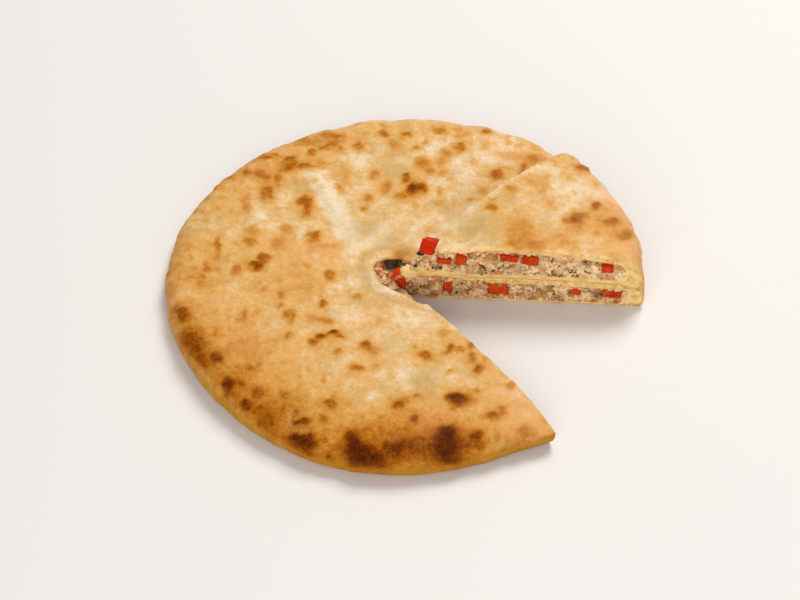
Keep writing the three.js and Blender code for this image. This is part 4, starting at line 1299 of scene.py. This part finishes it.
def fine_grain_group():
    """Fine unevenness shared by dough, meat, pepper and bits: a value round 0.5, coarse and fine mixed."""
    held = bpy.data.node_groups.get("Fine grain")
    if held:
        return held
    group = bpy.data.node_groups.new("Fine grain", "ShaderNodeTree")
    for label in ("Coarse", "Fine", "Share"):
        group.interface.new_socket(label, in_out="INPUT", socket_type="NodeSocketFloat")
    group.interface.new_socket("Value", in_out="OUTPUT", socket_type="NodeSocketFloat")
    given, result = group.nodes.new("NodeGroupInput"), group.nodes.new("NodeGroupOutput")
    coordinates = group.nodes.new("ShaderNodeTexCoord").outputs["Object"]
    mix = group.nodes.new("ShaderNodeMix")
    feed(group, mix.inputs["Factor"], given.outputs["Share"])
    for label, side in (("Coarse", "A"), ("Fine", "B")):
        noise = group.nodes.new("ShaderNodeTexNoise")
        feed(group, noise.inputs["Detail"], 3.0)
        feed(group, noise.inputs["Vector"], coordinates)
        feed(group, noise.inputs["Scale"], given.outputs[label])
        feed(group, mix.inputs[side], noise.outputs["Fac"])
    feed(group, result.inputs["Value"], mix.outputs["Result"])
    return group


def new_material(name):
    """An empty material with its Principled shader."""
    material = bpy.data.materials.new(name)
    material.use_nodes = True
    tree = material.node_tree
    return material, tree, tree.nodes["Principled BSDF"]


def grain(tree, coarse, fine, share):
    """The value of the fine grain group, placed in a material with its own scales and share of the fine."""
    node = tree.nodes.new("ShaderNodeGroup")
    node.node_tree = fine_grain_group()
    for label, value in (("Coarse", coarse), ("Fine", fine), ("Share", share)):
        feed(tree, node.inputs[label], value)
    return node.outputs["Value"]


def painted(tree, name):
    """A value painted on the mesh."""
    node = tree.nodes.new("ShaderNodeAttribute")
    node.attribute_name = name
    return node.outputs["Fac"]


def ramp(tree, value, stops):
    """A colour ramp of stops, each a place and a colour."""
    node = tree.nodes.new("ShaderNodeValToRGB")
    elements = node.color_ramp.elements
    while len(elements) < len(stops):
        elements.new(0.5)
    for element, (place, colour) in zip(elements, stops):
        element.position = place
        element.color = (*colour, 1.0)
    feed(tree, node.inputs["Fac"], value)
    return node.outputs["Color"]


def mix_colours(tree, factor, first, second):
    """Mixes two colours, each a socket or plain numbers."""
    node = tree.nodes.new("ShaderNodeMix")
    node.data_type = "RGBA"
    feed(tree, node.inputs["Factor"], factor)
    for socket, value in ((node.inputs[6], first), (node.inputs[7], second)):
        feed(tree, socket, value if isinstance(value, bpy.types.NodeSocket) else (*value, 1.0))
    return node.outputs[2]


def bump(tree, shader, height, strength, distance):
    """Feeds a height into the shader's normal."""
    node = tree.nodes.new("ShaderNodeBump")
    feed(tree, node.inputs["Strength"], strength)
    feed(tree, node.inputs["Distance"], distance)
    feed(tree, node.inputs["Height"], height)
    feed(tree, shader.inputs["Normal"], node.outputs["Normal"])


def dress(tree, shader, colour, rough, shine):
    """Gives a shader its colour, roughness and shine, from sockets or plain numbers."""
    feed(tree, shader.inputs["Base Color"], colour)
    feed(tree, shader.inputs["Roughness"], rough)
    feed(tree, shader.inputs["Specular IOR Level"], shine)


def crust_material():
    """Baked dough: pale to burnt by its baking, greyer where it is thin and where shade is painted, pale
    crumb where it is cut, painted glints on fine specks.
    """
    colours = bpy.context.scene.pie_colours
    material, tree, shader = new_material("Baked crust")
    speckle = grain(tree, coarse=330.0, fine=1300.0, share=0.5)
    uneven = math_node(tree, "SUBTRACT", speckle, 0.5)
    bubbles = bubble_glint_specks(tree, 1050.0)
    painted_bake = painted(tree, "bake")
    lighter = math_node(tree, "MULTIPLY", painted_bake, math_node(tree, "SUBTRACT", 1.08, painted_bake))
    strength = math_node(tree, "MULTIPLY_ADD", lighter, 1.1, 0.40)
    bake = math_node(tree, "MULTIPLY_ADD", uneven, strength, painted_bake)
    # Where the bubbles show, the colour is paler: painted glints of light on the dough
    pale = math_node(tree, "MULTIPLY_ADD", lighter, -0.32, -0.04)
    bake = math_node(tree, "MULTIPLY_ADD", bubbles, pale, bake)
    # Baking below 0.05 runs to the whitest colour, that of the painted highlights
    stops = (
        (0.0, colours.highlight_milk), (0.05, colours.dough), (0.20, colours.straw), (0.42, colours.gold),
        (0.62, colours.amber), (0.78, colours.caramel), (0.90, colours.brown), (1.0, colours.burnt),
    )
    baked = ramp(tree, bake, stops)
    for tint, colour in (("thin", colours.thin), ("blush", colours.blush), ("edge", colours.butter)):
        baked = mix_colours(tree, painted(tree, tint), baked, colour)
    flaky = math_node(tree, "MULTIPLY_ADD", uneven, -0.5, painted_bake)
    crumb = ramp(tree, flaky, ((0.2, colours.crumb), (0.62, colours.gold)))
    base = mix_colours(tree, painted(tree, "cut"), baked, crumb)
    dress(tree, shader, base, math_node(tree, "MULTIPLY_ADD", uneven, 0.35, 0.42), shine=0.035)
    height = math_node(tree, "MULTIPLY_ADD", bubbles, 0.5, speckle)
    bump(tree, shader, height, strength=0.65, distance=0.0011)
    return material


def bubble_glint_specks(tree, scale):
    """A mask of fine irregular specks: tiny bubbles of the dough, raised and painted paler as glints of
    light.
    """
    noise = tree.nodes.new("ShaderNodeTexNoise")
    feed(tree, noise.inputs["Scale"], scale)
    feed(tree, noise.inputs["Detail"], 1.0)
    feed(tree, noise.inputs["Vector"], tree.nodes.new("ShaderNodeTexCoord").outputs["Object"])
    high = tree.nodes.new("ShaderNodeMapRange")
    high.interpolation_type = "SMOOTHSTEP"
    feed(tree, high.inputs["From Min"], 0.56)
    feed(tree, high.inputs["From Max"], 0.68)
    feed(tree, high.inputs["Value"], noise.outputs["Fac"])
    return high.outputs["Result"]


def filling_material():
    """Cooked mince: pale bits and meat, with its gaps painted dark, partly as meat juice and partly as
    painted shade.
    """
    colours = bpy.context.scene.pie_colours
    material, tree, shader = new_material("Cooked mince")
    speckle = grain(tree, coarse=420.0, fine=1500.0, share=0.5)
    uneven = math_node(tree, "SUBTRACT", speckle, 0.5)
    tone = math_node(tree, "ADD", uneven, painted(tree, "tone"))
    meat = ramp(tree, tone, ((0.18, colours.meat), (0.78, colours.fat)))
    # Painted shade and meat juice: the gaps take the darkest colour
    dark = math_node(tree, "MULTIPLY_ADD", uneven, -0.2, painted(tree, "crease"))
    base = mix_colours(tree, dark, meat, colours.gravy_and_shade)
    dress(tree, shader, base, math_node(tree, "MULTIPLY_ADD", uneven, 0.5, 0.36), shine=0.25)
    bump(tree, shader, speckle, strength=0.6, distance=0.0008)
    return material


def pepper_material():
    """Cooked red pepper, moist, from red skin to orange flesh."""
    colours = bpy.context.scene.pie_colours
    material, tree, shader = new_material("Red pepper")
    speckle = grain(tree, coarse=150.0, fine=900.0, share=0.45)
    stops = ((0.36, colours.pepper_dark), (0.47, colours.pepper), (0.63, colours.pepper_flesh))
    flesh = ramp(tree, speckle, stops)
    base = mix_colours(tree, painted(tree, "skin"), flesh, colours.pepper_skin)
    dress(tree, shader, base, rough=0.34, shine=0.08)
    bump(tree, shader, speckle, strength=0.45, distance=0.0010)
    return material


# Pieces


def pie_sector():
    """The large part of the pie, from the far cut round to the near one."""
    return Sector(
        name="pie", apex=APEX, start=FAR_CUT, end=NEAR_CUT + 360.0, pressed=True, base=PIE_BASE,
        blisters=PIE_BLISTERS, zones=PIE_ZONES, thin=PIE_THIN, blush=PIE_BLUSH, seed=100,
    )


def slice_sector():
    """The slice, as it was before it was lifted out."""
    return Sector(
        name="slice", apex=slice_apex(), start=NEAR_CUT, end=FAR_CUT, pressed=False, base=SLICE_BASE,
        blisters=SLICE_BLISTERS, zones=SLICE_ZONES, thin=SLICE_THIN, blush=SLICE_BLUSH, seed=200,
    )


def settle_slice(points):
    """Lays the slice's points on the pie, at the height of its solid, so that its base follows the lid."""
    sector = slice_sector()
    apex = sector.apex
    shaped = stretch_tip(lean_and_slump(points, apex), apex)
    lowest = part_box("slice_crust")[0].z / MM
    rim = lean_and_slump(crust_footprint(sector), apex)
    lift = lowest - lay_slice(rim, 0.0)[:, 2].min()
    laid = lay_slice(shaped, lift)
    beneath = lay_slice(shaped * (1.0, 1.0, 0.0), lift)
    turn = math.radians(FAR_CUT)
    inward = (-math.sin(turn), math.cos(turn), 0.0)
    past = np.maximum(-side_of_line(beneath[:, 0], beneath[:, 1], FAR_CUT), 0.0)
    kept = 1.0 - smooth_step(beneath[:, 0], *FLUSH_FROM)
    back = np.outer(past * (1.0 - kept), inward)
    laid, beneath = laid + back, beneath + back
    x, y, _ = (laid + np.outer(past * kept, inward)).T
    under = lid_height(pie_sector(), x, y)
    under -= rim_drop(beyond_middle(x, y), under)
    rimward = smooth_step(np.hypot(*(shaped[:, :2] - apex).T), 135.0, 156.0)
    gap = np.clip(under + SLICE_REST - beneath[:, 2], -SLICE_SAG * (1.0 + rimward), SLICE_RAISE)
    laid[:, 2] += gap * (1.0 - 0.3 * smooth_step(shaped[:, 2], 0.0, CROWN))
    return laid


def stretch_tip(points, apex):
    """Draws the slice's base out at its tip and lets the filling above it slope back."""
    middle = math.radians((NEAR_CUT + FAR_CUT) / 2.0)
    near = 1.0 - smooth_step(np.hypot(*(points[:, :2] - apex).T), 0.0, 20.0)
    low = 1.0 - smooth_step(points[:, 2], 2.5, 5.0)
    above = np.maximum(points[:, 2] - 3.5, 0.0)
    sloped = 0.42 * above + 0.8 * ripple(points, 6.0, 91) * (above > 0.0)
    drawn = near * (TONGUE * low - sloped)
    return points - np.outer(drawn, (math.cos(middle), math.sin(middle), 0.0))


def torn_tongue():
    """Points and triangles of the torn end of the slice's base, which lies in the vent."""
    ball, faces = lump(5)
    turn = math.radians(TONGUE_HEADING)
    ahead = np.array((math.cos(turn), math.sin(turn), 0.0))
    aside = np.array((-math.sin(turn), math.cos(turn), 0.0))
    blunt = np.sign(ball) * np.abs(ball) ** 0.8
    rough = 1.0 + 0.10 * ripple(ball, 1.1, 95) + 0.05 * ripple(ball, 0.45, 96)
    shape = blunt * rough[:, None] * TONGUE_HALF
    shape[:, 2] += 0.10 * np.maximum(-shape[:, 0] - 2.0, 0.0)
    return TONGUE_AT + shape @ np.array((ahead, aside, (0.0, 0.0, 1.0))), faces


def crust_footprint(sector):
    """Points of a sector's bottom edge."""
    headings = np.radians(np.linspace(sector.start, sector.end, FOOTPRINT_POINTS))
    return spread(sector, headings, outline_reach(sector.apex, headings) - RIM_FOOT, 0.0)


class PIE_OT_stage(bpy.types.Operator):
    """Makes the floor, the soft lights and the camera of the photograph."""

    bl_idname = "pie.stage"
    bl_label = "Stage"

    def execute(self, context):
        colours, sizes = context.scene.pie_colours, context.scene.pie_sizes
        half = 5.0
        corners = ((-half, -half, 0), (half, -half, 0), (half, half, 0), (-half, half, 0))
        mesh = bpy.data.meshes.new("Floor")
        mesh.from_pydata(corners, (), ((0, 1, 2, 3),))
        material, tree, shader = new_material("Pale floor")
        feed(tree, shader.inputs["Base Color"], (*colours.floor, 1.0))
        feed(tree, shader.inputs["Roughness"], 0.6)
        mesh.materials.append(material)
        floor = bpy.data.objects.new("Floor", mesh)
        context.scene.collection.objects.link(floor)

        key = {"right_of_back": 28.0, "rise": 54.0, "distance": 2.8, "size": 1.3}
        add_light("Key", **key, power=sizes.key_power, colour=(1.0, 0.97, 0.93))
        fill = {"right_of_back": 190.0, "rise": 28.0, "distance": 2.2, "size": 2.0}
        add_light("Fill", **fill, power=sizes.fill_power, colour=(1.0, 0.98, 0.96))
        world = bpy.data.worlds.new("Studio")
        world.use_nodes = True
        backdrop = world.node_tree.nodes["Background"]
        backdrop.inputs["Color"].default_value = (1.0, 0.985, 0.97, 1.0)
        backdrop.inputs["Strength"].default_value = 0.33
        context.scene.world = world
        context.scene.view_settings.view_transform = "Standard"
        add_camera(context)
        return {"FINISHED"}


def add_light(name, right_of_back, rise, distance, size, power, colour):
    """A square soft light aimed at the pie, placed by its heading from straight behind and its rise."""
    light = bpy.data.lights.new(name, "AREA")
    light.size = size
    light.energy = power
    light.color = colour
    lamp = bpy.data.objects.new(name, light)
    heading, rise = math.radians(right_of_back), math.radians(rise)
    away = Vector((math.sin(heading) * math.cos(rise), math.cos(heading) * math.cos(rise), math.sin(rise)))
    lamp.location = away * distance
    lamp.rotation_euler = away.to_track_quat("Z", "Y").to_euler()
    bpy.context.scene.collection.objects.link(lamp)


def add_camera(context):
    """The camera at the photograph's angle."""
    camera = bpy.data.cameras.new("Camera")
    camera.angle = math.radians(VIEW_ANGLE)
    seat = bpy.data.objects.new("Camera", camera)
    _, _, back = view_axes()
    seat.location = (VIEW_TARGET + back * VIEW_DISTANCE) * MM
    seat.rotation_euler = (math.radians(90.0 - VIEW_RISE), 0.0, 0.0)
    context.scene.collection.objects.link(seat)
    context.scene.camera = seat


class PIE_OT_crust(bpy.types.Operator):
    """Makes the crusts of the pie and of the slice."""

    bl_idname = "pie.crust"
    bl_label = "Crust"

    def execute(self, context):
        blister = context.scene.pie_sizes.blister / MM
        material = crust_material()
        for sector in (pie_sector(), slice_sector()):
            shell = crust_shell(sector, blister)
            points = shown_place(sector, shell.all_points())
            if not sector.pressed:
                tongue, faces = torn_tongue()
                shell.faces.append(faces + shell.count)
                shell.add(tongue, bake=0.12, cut=1.0)
                points = np.concatenate((points, tongue))
            node = f"{sector.name}_crust"
            faces, values = shell.all_faces(), shell.all_values()
            make_piece(f"{node}_baked", points, faces, values, material, (node,))
        return {"FINISHED"}


class PIE_OT_filling(bpy.types.Operator):
    """Makes the meat filling of the pie and of the slice."""

    bl_idname = "pie.filling"
    bl_label = "Filling"

    def execute(self, context):
        crumb = context.scene.pie_sizes.crumb / MM
        material = filling_material()
        for sector in (pie_sector(), slice_sector()):
            shell = filling_shell(sector, crumb)
            points = shown_place(sector, shell.all_points())
            node = f"{sector.name}_filling"
            faces, values = shell.all_faces(), shell.all_values()
            make_piece(f"{node}_mince", points, faces, values, material, (node,))
        return {"FINISHED"}


def die_mesh(size, seed):
    """Points and triangles of one irregular rounded die round the origin, and where its skin is."""
    random = np.random.default_rng(seed)
    line = np.linspace(-1.0, 1.0, DIE_STEPS + 1)
    across, up = (held.ravel() for held in np.meshgrid(line, line, indexing="ij"))
    cells = np.arange(len(across)).reshape(DIE_STEPS + 1, DIE_STEPS + 1)
    a, b, c, d = (held.ravel() for held in (cells[:-1, :-1], cells[1:, :-1], cells[1:, 1:], cells[:-1, 1:]))
    face = np.concatenate((np.stack((a, b, c), axis=1), np.stack((a, c, d), axis=1)))
    points, faces = [], []
    for axis in range(3):
        for sign in (-1.0, 1.0):
            side = np.empty((len(across), 3))
            side[:, axis] = sign
            side[:, (axis + 1) % 3] = across
            side[:, (axis + 2) % 3] = up
            faces.append((face if sign > 0 else face[:, ::-1]) + len(points) * len(across))
            points.append(side)
    points, faces = np.concatenate(points), np.concatenate(faces)
    _, kept, owner = np.unique(np.round(points, 6), axis=0, return_index=True, return_inverse=True)
    points, faces = points[kept], owner.ravel()[faces]
    half = np.array(size) / 2.0
    rounding = min(DIE_ROUNDING, 0.45 * half.min())
    block = points * half
    core = np.clip(block, -(half - rounding), half - rounding)
    off = block - core
    points = core + off * (rounding / np.maximum(np.linalg.norm(off, axis=1), 1e-6))[:, None]
    skin = smooth_step(points[:, 2] / half[2] * random.choice((-1.0, 1.0)), 0.75, 0.98)
    taper = random.uniform(-DIE_TAPER, DIE_TAPER, 3)
    points = points * (1.0 + taper * points[:, (1, 2, 0)] / half[[1, 2, 0]])
    shear = random.uniform(-DIE_SHEAR, DIE_SHEAR, (3, 3))
    np.fill_diagonal(shear, 0.0)
    points = points + (points @ shear.T) * 0.8
    bulge = DIE_BULGE * half.min() * ripple(points, half.max(), seed + 1)
    points += bulge[:, None] * points / np.linalg.norm(points, axis=1)[:, None]
    return points, faces, skin


def place_die(name, heading, size, seed, material, tilt=0.0, shift=(0.0, 0.0, 0.0), red=0.0):
    """Makes the pepper die that stands for one node of the solid model."""
    wide, tall, deep = size
    points, faces, skin = die_mesh((wide, deep, tall), seed)
    lean = Matrix.Rotation(math.radians(tilt), 3, "X")
    turn = np.array(Matrix.Rotation(math.radians(heading), 3, "Z") @ lean)
    points = points @ turn.T + node_middle(name) + shift
    make_piece(f"{name}_die", points, faces, {"skin": np.maximum(skin, red)}, material, (name,))


class PIE_OT_pepper(bpy.types.Operator):
    """Makes the dice of red pepper at the cuts and in the vent."""

    bl_idname = "pie.pepper"
    bl_label = "Pepper dice"

    def execute(self, context):
        material = pepper_material()
        seed = 300
        for group, (heading, dice) in PEPPER.items():
            for number, (_, *size) in enumerate(dice, start=1):
                seed += 10
                place_die(f"{group}_{number}", heading, size, seed, material)
        for name, (heading, tilt, size, shift, red) in VENT_DICE.items():
            seed += 10
            place_die(name, heading, size, seed, material, tilt, shift, red)
        return {"FINISHED"}


# Bits strewn through the filling


def lump(detail):
    """Points and triangles of a round lump of radius 1."""
    held = bmesh.new()
    bmesh.ops.create_icosphere(held, subdivisions=detail, radius=1.0)
    points = np.array([point.co for point in held.verts])
    faces = np.array([[corner.index for corner in face.verts] for face in held.faces])
    held.free()
    return points, faces


def surface_tree(*names):
    """The surfaces of pieces, for finding places on them."""
    points, faces, first = [], [], 0
    for name in names:
        mesh = bpy.data.objects[name].data
        places = np.empty(3 * len(mesh.vertices), np.float32)
        corners = np.empty(3 * len(mesh.polygons), np.int32)
        mesh.vertices.foreach_get("co", places)
        mesh.loops.foreach_get("vertex_index", corners)
        points.append(places.reshape(-1, 3) / MM)
        faces.append(corners.reshape(-1, 3) + first)
        first += len(points[-1])
    return BVHTree.FromPolygons(np.concatenate(points).tolist(), np.concatenate(faces).tolist())


def cast(tree, start, aim, reach=1000.0):
    """Place and normal where a ray meets a surface, as a list of one, or an empty list."""
    place, normal, _, _ = tree.ray_cast(Vector(start), Vector(aim), reach)
    return [] if place is None else [(np.array(place), np.array(normal))]


def seen_places(tree, pixels):
    """Places and normals where pixels of the photograph fall on the filling and its crust."""
    found = []
    for column, row, *scale in pixels:
        low, high = (np.array((*seen_at(column, row, height), height)) for height in (0.0, 120.0))
        found += [(*hit, *scale) for hit in cast(tree, high, low - high)]
    return found


def cut_places(tree, random, count):
    """Seeded places and normals on all four cut faces of the filling."""
    laid = lay_slice(np.array(((*slice_apex(), 0.0),)), 0.0)[0, :2]
    cuts = (
        (APEX, FAR_CUT, -1.0, PIE_FACE), (APEX, NEAR_CUT, 1.0, PIE_FACE),
        (laid, NEAR_CUT + SLICE_TURN, -1.0, SLICE_FACE), (laid, FAR_CUT + SLICE_TURN, 1.0, SLICE_FACE),
    )
    found = []
    for corner, heading, sign, heights in cuts:
        turn = math.radians(heading)
        ahead = np.array((math.cos(turn), math.sin(turn)))
        outward = sign * np.array((-math.sin(turn), math.cos(turn), 0.0))
        for _ in range(count):
            along = random.uniform(6.0, 146.0)
            start = np.array((*(corner + along * ahead), random.uniform(*heights)))
            away = min(30.0, 0.5 * along)
            hits = cast(tree, start + away * outward, -outward, away + 6.0)
            found += [(place, normal) for place, normal in hits if normal @ outward > 0.35]
    return found


def vent_places(tree, random, count):
    """Seeded places and normals on the filling in the two open vents."""
    found = []
    for sector in (pie_sector(), slice_sector()):
        span = PIE_VENT_SPAN if sector.pressed else (sector.start, sector.end)
        for _ in range(count):
            heading = np.array((math.radians(random.uniform(*span)),))
            reach = random.uniform(0.2, 0.9) * vent_reach(sector, heading)
            start = spread(sector, heading, reach, 0.0)
            if not sector.pressed:
                start = lay_slice(start, 0.0)
            found += cast(tree, (*start[0, :2], 70.0), (0.0, 0.0, -1.0))
    return found


def strew(places, random, bits):
    """Joins one bent flattened lump for each place into one mesh."""
    ball, ball_faces = lump(2)
    points, faces = [], []
    for place, normal, *scale in places:
        ahead = np.cross(normal, random.normal(size=3))
        ahead /= np.linalg.norm(ahead)
        aside = np.cross(normal, ahead)
        half = np.array((random.uniform(*bits.length), random.uniform(*bits.width), bits.thick)) / 2.0
        half[:2] *= scale or 1.0
        shape = ball * (1.0 + bits.ragged * ripple(ball, 1.0, int(random.integers(1000))))[:, None]
        shape[:, 2] -= random.uniform(0.0, bits.bend) * shape[:, 0] ** 2
        shape = np.sign(shape) * np.abs(shape) ** bits.blunt * half
        points.append(place + bits.proud * normal + shape @ np.array((ahead, aside, normal)))
        faces.append(ball_faces + len(ball) * len(faces))
    return np.concatenate(points), np.concatenate(faces)


def bits_material(name, first, second, rough, shine):
    """A bit of vegetable or spice, uneven between two colours."""
    material, tree, shader = new_material(name)
    speckle = grain(tree, coarse=500.0, fine=1500.0, share=0.4)
    dress(tree, shader, ramp(tree, speckle, ((0.38, first), (0.62, second))), rough, shine)
    bump(tree, shader, speckle, strength=0.3, distance=0.0006)
    return material


# One kind of strewn bits: where it is seen, how many more are tried on each cut and in each vent, and the
# form of a bit
Bits = namedtuple("Bits", "seen cut vent length width thick bend ragged blunt proud slot")

# Heights at which bits are tried on the cut faces of the pie and of the slice, and headings in the pie's vent
PIE_FACE, SLICE_FACE, PIE_VENT_SPAN = (3.0, 19.0), (25.0, 41.0), (60.0, 290.0)

# Where each kind is seen: column and row in the photograph, and how much larger a bit is there
HERBS_SEEN = (
    (425, 267), (428, 269), (432, 268), (436, 270), (430, 265), (441, 268), (421, 252), (420, 254),
    (484, 268), (485, 270), (482, 266), (486, 273), (394, 260, 2.4), (398, 263, 2.2), (401, 261, 2.4),
    (394, 265, 1.8), (390, 262, 2.0), (404, 265, 1.8), (397, 267, 1.8), (419, 253, 2.0), (422, 254, 2.0),
    (510, 266), (499, 268), (577, 276), (575, 273), (612, 265), (585, 262), (552, 272), (560, 276),
    (466, 287), (472, 283), (462, 283), (478, 281), (455, 293),
)
SPECKS_SEEN = (
    (523, 286), (553, 286), (530, 285), (561, 285), (585, 259), (613, 262), (575, 277), (584, 291),
)
ONION_SEEN = (
    (468, 262), (470, 264), (484, 263), (500, 264), (508, 265), (516, 289), (520, 291), (598, 258),
    (455, 259), (445, 291), (563, 293), (590, 287), (381, 274), (384, 279), (388, 283), (380, 269),
    (392, 287), (386, 272),
)
GREEN_PEPPER_SEEN = (
    (547, 291), (543, 293), (551, 289), (468, 264), (434, 292),
)
SHREDS_SEEN = (
    (388, 275), (393, 279), (399, 283), (403, 278), (407, 283), (397, 273), (383, 268), (380, 272),
    (386, 285), (430, 262), (444, 262), (464, 258), (480, 255), (496, 256), (577, 290),
)

STREWN = {
    "herb_flakes": Bits(
        seen=HERBS_SEEN, cut=11, vent=8, length=(1.0, 3.0), width=(0.6, 1.5), thick=0.32,
        bend=0.9, ragged=0.34, blunt=0.9, proud=0.10, slot="filling",
    ),
    "black_specks": Bits(
        seen=SPECKS_SEEN, cut=4, vent=2, length=(0.7, 1.3), width=(0.6, 1.0), thick=0.6,
        bend=0.2, ragged=0.2, blunt=0.9, proud=0.10, slot="filling",
    ),
    "onion_bits": Bits(
        seen=ONION_SEEN, cut=10, vent=4, length=(2.4, 5.0), width=(1.4, 2.8), thick=1.1,
        bend=0.5, ragged=0.22, blunt=0.7, proud=-0.05, slot="filling",
    ),
    "green_pepper_bits": Bits(
        seen=GREEN_PEPPER_SEEN, cut=3, vent=0, length=(2.8, 5.6), width=(2.0, 3.6), thick=1.6,
        bend=0.4, ragged=0.2, blunt=0.65, proud=0.0, slot="filling",
    ),
    "red_pepper_shreds": Bits(
        seen=SHREDS_SEEN, cut=5, vent=4, length=(2.2, 5.4), width=(1.2, 2.6), thick=1.2,
        bend=0.6, ragged=0.24, blunt=0.7, proud=0.05, slot="pepper",
    ),
}


class PIE_OT_bits(bpy.types.Operator):
    """Strews herbs, onion and small bits of pepper over the filling where it shows."""

    bl_idname = "pie.bits"
    bl_label = "Bits in the filling"

    def execute(self, context):
        colours = context.scene.pie_colours
        finishes = {
            "herb_flakes": ("Herbs", colours.herb, (0.060, 0.066, 0.014), 0.5, 0.08),
            "black_specks": ("Black pepper", (0.012, 0.010, 0.008), (0.035, 0.026, 0.018), 0.6, 0.08),
            "onion_bits": ("Onion", colours.onion, (0.66, 0.50, 0.24), 0.28, 0.3),
            "green_pepper_bits": ("Green pepper", colours.green_pepper, (0.31, 0.24, 0.045), 0.3, 0.2),
            "red_pepper_shreds": ("Pepper shreds", colours.pepper, colours.pepper_flesh, 0.28, 0.15),
        }
        fillings = ("pie_filling_mince", "slice_filling_mince")
        open_filling = surface_tree(*fillings)
        all_shown = surface_tree(*fillings, "pie_crust_baked", "slice_crust_baked")
        for seed, (name, bits) in enumerate(STREWN.items(), start=700):
            random = np.random.default_rng(seed)
            places = seen_places(all_shown, bits.seen)
            places += cut_places(open_filling, random, bits.cut)
            places += vent_places(open_filling, random, bits.vent)
            points, faces = strew(places, random, bits)
            make_piece(name, points, faces, {}, bits_material(*finishes[name]), ())
        return {"FINISHED"}


class PIE_PT_panel(bpy.types.Panel):
    """Sizes, colours and building steps of the pie."""

    bl_idname = "PIE_PT_panel"
    bl_label = "Ossetian pie"
    bl_space_type = "VIEW_3D"
    bl_region_type = "UI"
    bl_category = "Pie"

    def draw(self, context):
        layout = self.layout
        for group in (context.scene.pie_sizes, context.scene.pie_colours):
            for name in group.__annotations__:
                layout.prop(group, name)
        for step in STEPS:
            layout.operator(step.bl_idname)


STEPS = (PIE_OT_stage, PIE_OT_crust, PIE_OT_filling, PIE_OT_pepper, PIE_OT_bits)
CLASSES = (PieSizes, PieColours, *STEPS, PIE_PT_panel)


def register():
    """Registers the classes and adds the settings to the scene."""
    for cls in CLASSES:
        bpy.utils.register_class(cls)
    bpy.types.Scene.pie_sizes = bpy.props.PointerProperty(type=PieSizes)
    bpy.types.Scene.pie_colours = bpy.props.PointerProperty(type=PieColours)


def unregister():
    """Takes the settings and the classes away again."""
    del bpy.types.Scene.pie_colours
    del bpy.types.Scene.pie_sizes
    for cls in reversed(CLASSES):
        bpy.utils.unregister_class(cls)


def main():
    """Builds the scene step by step."""
    register()
    bpy.ops.pie.stage()
    bpy.ops.pie.crust()
    bpy.ops.pie.filling()
    bpy.ops.pie.pepper()
    bpy.ops.pie.bits()


if __name__ == "__main__":
    main()
